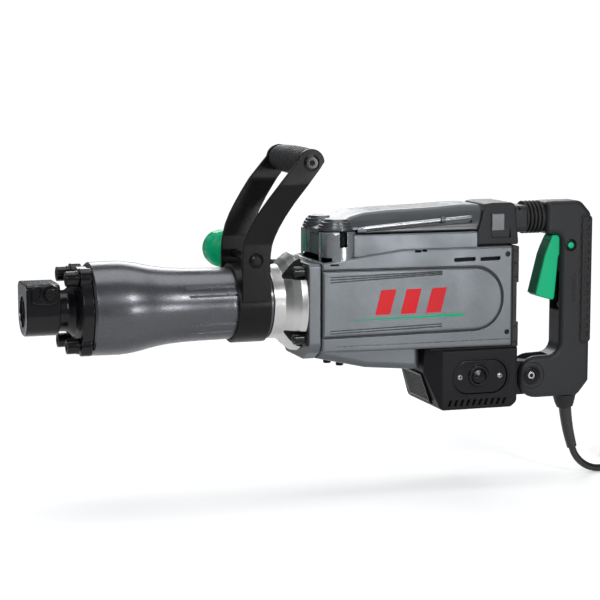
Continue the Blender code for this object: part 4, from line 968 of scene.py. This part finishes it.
def make_tail():
    outline = [(505, -64.4, 1), (627.5, -64.4, 2), (627.5, -136, 8), (619, -142.5, 6), (522, -142.5, 8),
            (503, -92, 4)]
    # The tail cover takes the darker copy of the plastic: painted shade.
    tail = Work("tail_shell", soft_plate(outline, -58, 58, "XZ", 3.6), "plastic_painted_shade")
    lug = [(615, -92, 1), (615, -136, 1), (668, -136, 18), (686, -110, 14), (668, -91, 14)]
    tail.join(soft_plate(lug, -11.7, 11.7, "XZ", 1.2))
    for turn in (-1, 1):
        corner = [(490, turn * 70), (490, turn * 42), (504, turn * 42), (524, turn * 58.5), (524, turn * 70)]
        if turn > 0:
            corner.reverse()
        tail.cut(plate_mesh(corner, -160, -50, "XY"))
    # Walls of the hollows, the intake opening and the slots cut below are painted near-black shade.
    tail.cut(box_mesh((526, -52, -137), (621, 52, -50)), mat="black_and_painted_shade")
    tail.cut(box_mesh((513, -36, -137), (530, 36, -50)), mat="black_and_painted_shade")
    intake = Matrix.Translation((511.5 * MM, 0, -115 * MM)) @ Matrix.Rotation(math.radians(-19), 4, "Y")
    opening = box_mesh((-14, -35, -20), (14, 35, 20))
    opening.transform(intake)
    tail.cut(opening, rounding=1.5, mat="black_and_painted_shade")
    for turn in (-1, 1):
        oval = rounded([(538, -79, 21), (613.5, -79, 21), (613.5, -123, 21), (538, -123, 21)], 12)
        tail.cut(side_plate(oval, turn, 40, 70))
        for index in range(10):
            x = 530.5 + index * 8.3
            slot = [(x, -137.6), (x + 3.6, -137.6), (x + 6.8, -129.4), (x + 3.2, -129.4)]
            tail.cut(side_plate(slot, turn, 40, 70), mat="black_and_painted_shade")
        rim = rounded([(535.6, -76.6, 23.4), (615.9, -76.6, 23.4), (615.9, -125.4, 23.4), (535.6, -125.4, 23.4)], 12)
        tail.cut(side_plate(rim, turn, 57.3, 66))
    tail.cut(rod_mesh(-30, 30, "Y", PIVOT_XZ, 6.4, 32))
    tail.done("housing", "tail_cover")

    grille = Work("intake_louvres", box_mesh((-2, -34.6, -19.6), (2, 34.6, 19.6)), "plastic_gloss").bevel(0.6, 2)
    # The gaps between the louvres are painted near-black shade.
    for index in range(13):
        y = -31.6 + index * 4.9
        grille.cut(box_mesh((-10, y, -17), (10, y + 2.9, 17)), mat="black_and_painted_shade")
    louvres = grille.done("housing", "intake_grille")
    louvres.data.transform(intake @ Matrix.Translation((-1.0 * MM, 0, 0)))

    for turn, label in ((-1, "left"), (1, "right")):
        oval = rounded([(538.6, -79.6, 20.6), (612.9, -79.6, 20.6), (612.9, -122.4, 20.6), (538.6, -122.4, 20.6)], 12)
        plate = Work(f"brush_plate_{label}", side_plate(oval, turn, 51.5, 55.5), "plastic_gloss").bevel(0.9)
        ring = [(51, 9.9, 0), (57.6, 9.9, 0.5), (57.6, 13.6, 0.9), (51, 16.2, 0)]
        plate.cut(rod_mesh(-70, 70, "Y", BRUSH_XZ, 9.9, 48))
        plate.join(side_lathe(turn, ring, 3, on_middle(BRUSH_XZ), 64))
        for x in (548.0, 603.0):
            head = [(53, 0, 0), (53, 3.6, 0), (57.3, 3.6, 1.2), (57.6, 0, 0)]
            plate.join(side_lathe(turn, head, 3, (x, 0, -100.5), 28), mat="steel")
            # The screw slots below are painted near-black shade.
            plate.cut(side_box(turn, 56.7, 60, (x - 2.4, x + 2.4), (-101.0, -100.0)), mat="black_and_painted_shade")
            plate.cut(side_box(turn, 56.7, 60, (x - 0.5, x + 0.5), (-102.9, -98.1)), mat="black_and_painted_shade")
        plate.done("housing", f"brush_cover_{label}")
        cap = [(49.4, 0, 0), (49.4, 9.4, 0), (57.6, 9.4, 1.8), (58.6, 0, 0)]
        work = Work(f"brush_holder_{label}", side_lathe(turn, cap, 5, on_middle(BRUSH_XZ), 56), "plastic_gloss")
        # The cap's slot is painted near-black shade.
        work.cut(side_box(turn, 56.6, 60, (566, 582), (-101.1, -98.9)), mat="black_and_painted_shade")
        work.done("housing", f"brush_cap_{label}")


# ---------------------------------------------------------------- D-handle

def make_handle():
    outline = [(683, 118, 5), (733, 118, 13), (748.4, 101, 12), (748.6, -121, 6), (735, -137.5, 5),
            (731, -140.5, 4), (650, -140.5, 25), (645.6, -86, 25), (705.2, -84, 16), (705, 75, 8), (683, 75, 5)]
    body = Work("handle_shell", soft_plate(outline, -20, 20, "XZ", 6.5, 8, 7), "plastic")
    body.cut(box_mesh((640, -12.2, -160), (692, 12.2, -70)))
    pocket = rounded([(690, 60, 0), (690, 90, 0), (716, 90, 0), (722, 50, 0), (722, -27, 0), (700, -27, 0)], 1)
    # Walls of this pocket and of the holes cut below are painted near-black shade.
    body.cut(plate_mesh(pocket, -13.1, 13.1, "XZ"), mat="black_and_painted_shade")
    body.cut(rod_mesh(-40, 40, "Y", PIVOT_XZ, 6.4, 40), mat="black_and_painted_shade")
    body.cut(rod_mesh(-40, -14, "Y", PIVOT_XZ, 11, 48), rod_mesh(17, 40, "Y", PIVOT_XZ, 11, 48))
    for turn in (-1, 1):
        low, high = mirrored(turn, 19.2, 26)
        for inner, outer in ((16.6, 17.8), (11.9, 12.8)):
            ring = lathe_mesh([(low, inner), (low, outer), (high, outer), (high, inner)], "Y",
                    on_middle(PIVOT_XZ), 64)
            body.cut(ring)
        band = rounded([(732.0, -71, 5), (732.0, 100, 5), (765, 100, 3), (765, -71, 3)], 6)
        body.cut(side_plate(band, turn, 19.0, 26))
        for index in range(12):
            z = -14 + index * 3.2
            body.cut(side_box(turn, 19.5, 26, (721.5, 726.0), (z, z + 1.2)))
    body.cut(rod_mesh(-40, -8.7, "Y", LOCK_XZ, 4.6, 40), mat="black_and_painted_shade")
    body.cut(rod_mesh(-160, -118, "Z", (722, 0), 9.2, 40), mat="black_and_painted_shade")
    body.cut(rod_mesh(670, 700, "X", DAMPER_YZ, 7.3, 32), mat="black_and_painted_shade")
    body.cut(rod_mesh(-16.8, 16.8, "Y", TRIGGER_XZ, 2.9, 24))
    body.cut(box_mesh((739.6, -14, -70), (770, 14, 92)))
    body.join(lathe_mesh(fillet_profile([(15, 4.7, 0), (15, 8.6, 0), (20.8, 8.2, 0.8), (20.8, 4.7, 0.3)], 3), "-Y",
            on_middle(LOCK_XZ), 48), mat="plastic_gloss")
    body.done("handle", "d_handle", smooth=36)

    pad = [(733.0, -69.6, 4), (733.0, 98.4, 4), (749.4, 98.4, 5), (749.4, -69.6, 5)]
    grip = Work("grip_cover", soft_plate(pad, -20.9, 20.9, "XZ", 3.4), "rubber")
    for index in range(11):
        grip.cut(rod_mesh(-30, 30, "Y", (730.2, -54 + index * 14.6), 5.0, 32))
    grip.cut(box_mesh((721, -13.2, -80), (739.4, 13.2, 110)))
    for turn in (-1, 1):
        for index in range(15):
            z = -62 + index * 10.83
            window = [(738.0, z, 1.8), (744.2, z + 1.5, 1.8), (744.2, z + 7.8, 1.8), (738.0, z + 6.3, 1.8)]
            grip.cut(side_plate(rounded(window, 5), turn, 19.3, 26), mat="plastic")
    for index in range(26):
        z = -64 + index * 6.2
        grip.cut(box_mesh((748.8, -11, z), (753, 11, z + 2.4)))
    grip.done("handle", "grip_pad")

    bolt = fillet_profile([(-19.4, 0, 0), (-19.4, 5, 0.8), (-17.8, 5.6, 0.6), (-17.8, 9.5, 0.8), (-14.3, 9.5, 0),
            (-14.3, 6, 0), (19.2, 6, 0.8), (19.2, 0, 0)], 3)
    pivot = Work("pivot_pin", lathe_mesh(bolt, "Y", on_middle(PIVOT_XZ), 48), "steel")
    # The hex recess's walls are painted near-black shade.
    pivot.cut(rod_mesh(-22, -17.6, "Y", PIVOT_XZ, 2.6, 6), mat="black_and_painted_shade")
    pivot.done("handle", "pivot_bolt")
    washer = fillet_profile([(-20.2, 5.8, 0), (-20.2, 10.7, 0.8), (-18.2, 10.7, 0), (-18.2, 5.8, 0)], 3)
    Work("pivot_ring", lathe_mesh(washer, "Y", on_middle(PIVOT_XZ), 56), "plastic_gloss").done(
        "handle", slot="black_plastic")


def make_trigger():
    face = [(695.5, 74, 4), (688.6, 57, 10), (684.6, 47, 12), (671.8, -5.5, 4), (699.5, -13.5, 4), (704.6, 44, 8),
            (712.6, 61, 4), (713.4, 74, 5)]
    trigger = Work("paddle", soft_plate(face, -12.5, 12.5, "XZ", 2.6), "green")
    trigger.join(rod_mesh(-16.4, 16.4, "Y", TRIGGER_XZ, 2.6, 24))
    trigger.done("trigger", "trigger")
    # The trigger's front strip takes the darker copy of the green: painted shade.
    strip = rounded([(671.3, -3.6, 1), (684.1, 47.2, 10), (688.1, 57.4, 9), (694.3, 70.5, 1), (697.0, 70.0, 1),
            (691.0, 56.6, 9), (687.0, 46.6, 10), (674.6, -4.4, 1)], 5)
    Work("paddle_front", plate_mesh(strip, -11.6, 11.6, "XZ"), "green_painted_shade").done(
        "trigger", slot="green_plastic")
    switch = Work("switch_block", box_mesh((710.5, -11.5, -24), (721.6, 11.5, 44)), "plastic_gloss").bevel(0.8, 2)
    switch.cut(box_mesh((700, -20, -17), (715.2, 20, 24)))
    switch.done("handle", "power_switch")
    profile = fillet_profile([(13.3, 0, 0), (13.3, 4.2, 0.3), (21.2, 4.2, 1.0), (21.8, 0, 0)], 4)
    Work("lock_stud", lathe_mesh(profile, "-Y", on_middle(LOCK_XZ), 48), "green").done("lock_button", "lock_button")


# ---------------------------------------------------------------- side handle

def make_side_handle():
    ring = fillet_profile([(258.5, 45.2, 0), (258.5, 49.6, 0.9), (300, 49.6, 0.9), (300, 45.2, 0)], 3)
    bow = Work("bow", lathe_mesh(ring, "X", (0, 0, 0), 128), "black_satin")
    left = [(262, 6), (262, 60), (262.6, 70), (264.4, 81), (269, 95), (275.5, 108), (283.5, 121), (293, 135),
            (305, 151.5), (317, 166), (328, 179)]
    right = [(362, 178), (356, 169), (344, 153.5), (333, 138.5), (323.5, 125), (315, 111), (308, 97.5), (303.4, 86),
            (300, 75), (298.6, 66), (298, 58), (298, 6)]
    crown = [(GRIP_XZ[0] + 17 * math.cos(angle), GRIP_XZ[1] + 17 * math.sin(angle))
            for angle in (math.radians(168 - 12 * step) for step in range(14))]
    outline = left + crown + right
    for turn in (-1, 1):
        arm = sliced(side_plate(outline, turn, 45.4, 50.4), 76, 80, 84, 100, 125, 146, 150, 154)

        def lean(x, y, z, turn=turn):
            rise = min(max(z - 80, 0.0), 70.0)
            return x, y + turn * 0.24 * rise, z

        bow.join(sheared(arm, lean), rounding=0.9)
    bow.cut(rod_mesh(-90, 90, "Y", CLAMP_XZ, 5.4, 24))
    bow.cut(rod_mesh(-90, 90, "Y", GRIP_XZ, 6.4, 24))
    bow.done("side_handle", "handle_bow", smooth=34)

    inner, outer = 62.2, 67.2
    grip = [(-inner + 0.3, 7), (-inner + 0.3, 14.2), (-inner + 1.2, 15.2), (-57.4, 15.9)]
    for index in range(14):
        y = -55 + index * 7.86
        crown = 17.9 - 1.5 * (abs(y + 3.9) / 56) ** 2
        grip += [(y, crown - 1.4), (y + 1.3, crown - 1.4), (y + 1.9, crown - 0.2), (y + 2.6, crown),
                (y + 6.6, crown), (y + 7.3, crown - 0.2)]
    grip += [(57.4, 15.9), (inner - 1.2, 15.2), (inner - 0.3, 14.2), (inner - 0.3, 7)]
    Work("bow_grip", lathe_mesh(grip, "Y", on_middle(GRIP_XZ), 96), "grip").done("side_handle", "side_grip")

    bolt = [(-outer - 3, 0, 0), (-outer - 3, 7.6, 1.6), (-outer - 0.5, 10.2, 0.6), (-outer - 0.1, 10.2, 0),
            (-outer - 0.1, 6, 0), (outer + 0.1, 6, 0), (outer + 0.1, 10.2, 0), (outer + 0.6, 10.2, 0.6),
            (outer + 3.6, 8.4, 1.2), (outer + 3.6, 0, 0)]
    through = Work("grip_rod", lathe_mesh(fillet_profile(bolt, 4), "Y", on_middle(GRIP_XZ), 56), "black_gloss")
    # The hex recess's walls are painted near-black shade.
    through.cut(rod_mesh(-outer - 5, -outer - 1.4, "Y", GRIP_XZ, 3.6, 6), mat="black_and_painted_shade")
    through.done("side_handle", "grip_bolt")

    wall = 50.4
    bolt = [(-wall - 4.0, 0, 0), (-wall - 4.0, 4.5, 1.5), (-wall - 2.6, 7.4, 2), (-wall - 0.2, 9.2, 0.4),
            (-wall - 0.1, 9.2, 0), (-wall - 0.1, 5, 0), (98, 5, 0), (98, 0, 0)]
    Work("clamp_screw", lathe_mesh(fillet_profile(bolt, 4), "Y", on_middle(CLAMP_XZ), 56), "black_satin").done(
        "side_handle", "clamp_bolt")
    knob = fillet_profile([(121, 0, 0), (121, 24.4, 9), (88, 24.4, 9), (84, 11.2, 3), (72, 11.2, 5),
            (wall + 0.5, 12.5, 1), (wall + 0.5, 5.4, 0), (101, 5.4, 0), (101, 0, 0)], 8)
    Work("star_knob", lathe_mesh(knob, "Y", on_middle(CLAMP_XZ), 112, lobes=12, lobe_depth=0.9, lobe_span=(93, 115)),
         "green").done("clamp_knob", "clamp_knob")


# ---------------------------------------------------------------- studio

def make_studio():
    world = bpy.data.worlds.new("studio")
    bpy.context.scene.world = world
    world.use_nodes = True
    tree = world.node_tree
    tree.nodes.clear()
    output = tree.nodes.new("ShaderNodeOutputWorld")
    mix = tree.nodes.new("ShaderNodeMixShader")
    path = tree.nodes.new("ShaderNodeLightPath")
    soft, white = tree.nodes.new("ShaderNodeBackground"), tree.nodes.new("ShaderNodeBackground")
    soft.inputs["Color"].default_value = (0.92, 0.96, 1.0, 1.0)
    soft.inputs["Strength"].default_value = WORLD_STRENGTH
    white.inputs["Color"].default_value = (1.0, 1.0, 1.0, 1.0)
    white.inputs["Strength"].default_value = BACKDROP_STRENGTH
    tree.links.new(path.outputs["Is Camera Ray"], mix.inputs[0])
    tree.links.new(soft.outputs[0], mix.inputs[1])
    tree.links.new(white.outputs[0], mix.inputs[2])
    tree.links.new(mix.outputs[0], output.inputs["Surface"])

    def softbox(name, place, target, size, power):
        data = bpy.data.lights.new(name, "AREA")
        data.shape = "RECTANGLE"
        data.size, data.size_y = size
        data.energy = power
        lamp = bpy.data.objects.new(name, data)
        lamp.location = place
        lamp.visible_camera = False
        direction = Vector(target) - Vector(place)
        lamp.rotation_mode = "QUATERNION"
        lamp.rotation_quaternion = direction.to_track_quat("-Z", "Y")
        bpy.context.scene.collection.objects.link(lamp)

    for name, facts in SOFTBOXES.items():
        softbox(name, *facts)

    shape = bmesh.new()
    bmesh.ops.create_circle(shape, cap_ends=True, segments=96, radius=2.6)
    mesh = mesh_from(shape, "floor")
    floor = bpy.data.objects.new("floor", mesh)
    floor.location = (0.45, 0.0, FLOOR * MM - 0.0002)
    bpy.context.scene.collection.objects.link(floor)
    s = Surface("studio_floor")
    s.shader.inputs["Roughness"].default_value = 0.9
    s.shader.inputs["Specular IOR Level"].default_value = 0.1
    s.link(s.blend(s.remap(s.noise(5.0, 3.0), 0.0, 1.0), (0.90, 0.90, 0.905), (0.93, 0.93, 0.93)),
           s.shader.inputs["Base Color"])
    s.shader.inputs["Emission Color"].default_value = (1.0, 1.0, 1.0, 1.0)
    seen = s.add("ShaderNodeLightPath")
    lift = s.add("ShaderNodeMath", operation="MULTIPLY")
    lift.inputs[1].default_value = FLOOR_LIFT
    s.link(seen.outputs["Is Camera Ray"], lift.inputs[0])
    s.link(lift.outputs[0], s.shader.inputs["Emission Strength"])
    length = s.add("ShaderNodeVectorMath", operation="LENGTH")
    s.link(s.coords, length.inputs[0])
    fade = s.remap(length.outputs["Value"], 1.0, 0.0, 0.7, 1.7)
    clear = s.add("ShaderNodeBsdfTransparent")
    mix = s.add("ShaderNodeMixShader")
    s.link(fade, mix.inputs[0])
    s.link(clear.outputs[0], mix.inputs[1])
    s.link(s.shader.outputs[0], mix.inputs[2])
    output = [node for node in s.tree.nodes if node.type == "OUTPUT_MATERIAL"][0]
    s.link(mix.outputs[0], output.inputs["Surface"])
    mesh.materials.append(s.mat)
    bpy.context.scene.view_settings.view_transform = "Standard"


make_camera()
mats = make_materials()
make_lead()
dress_cad_nodes()
for make in (make_nose, make_barrel, make_neck, make_case, make_roof, make_rear, make_tail, make_handle, make_trigger,
        make_side_handle, make_studio):
    make()
bpy.data.collections.remove(scratch)
bpy.context.view_layer.update()
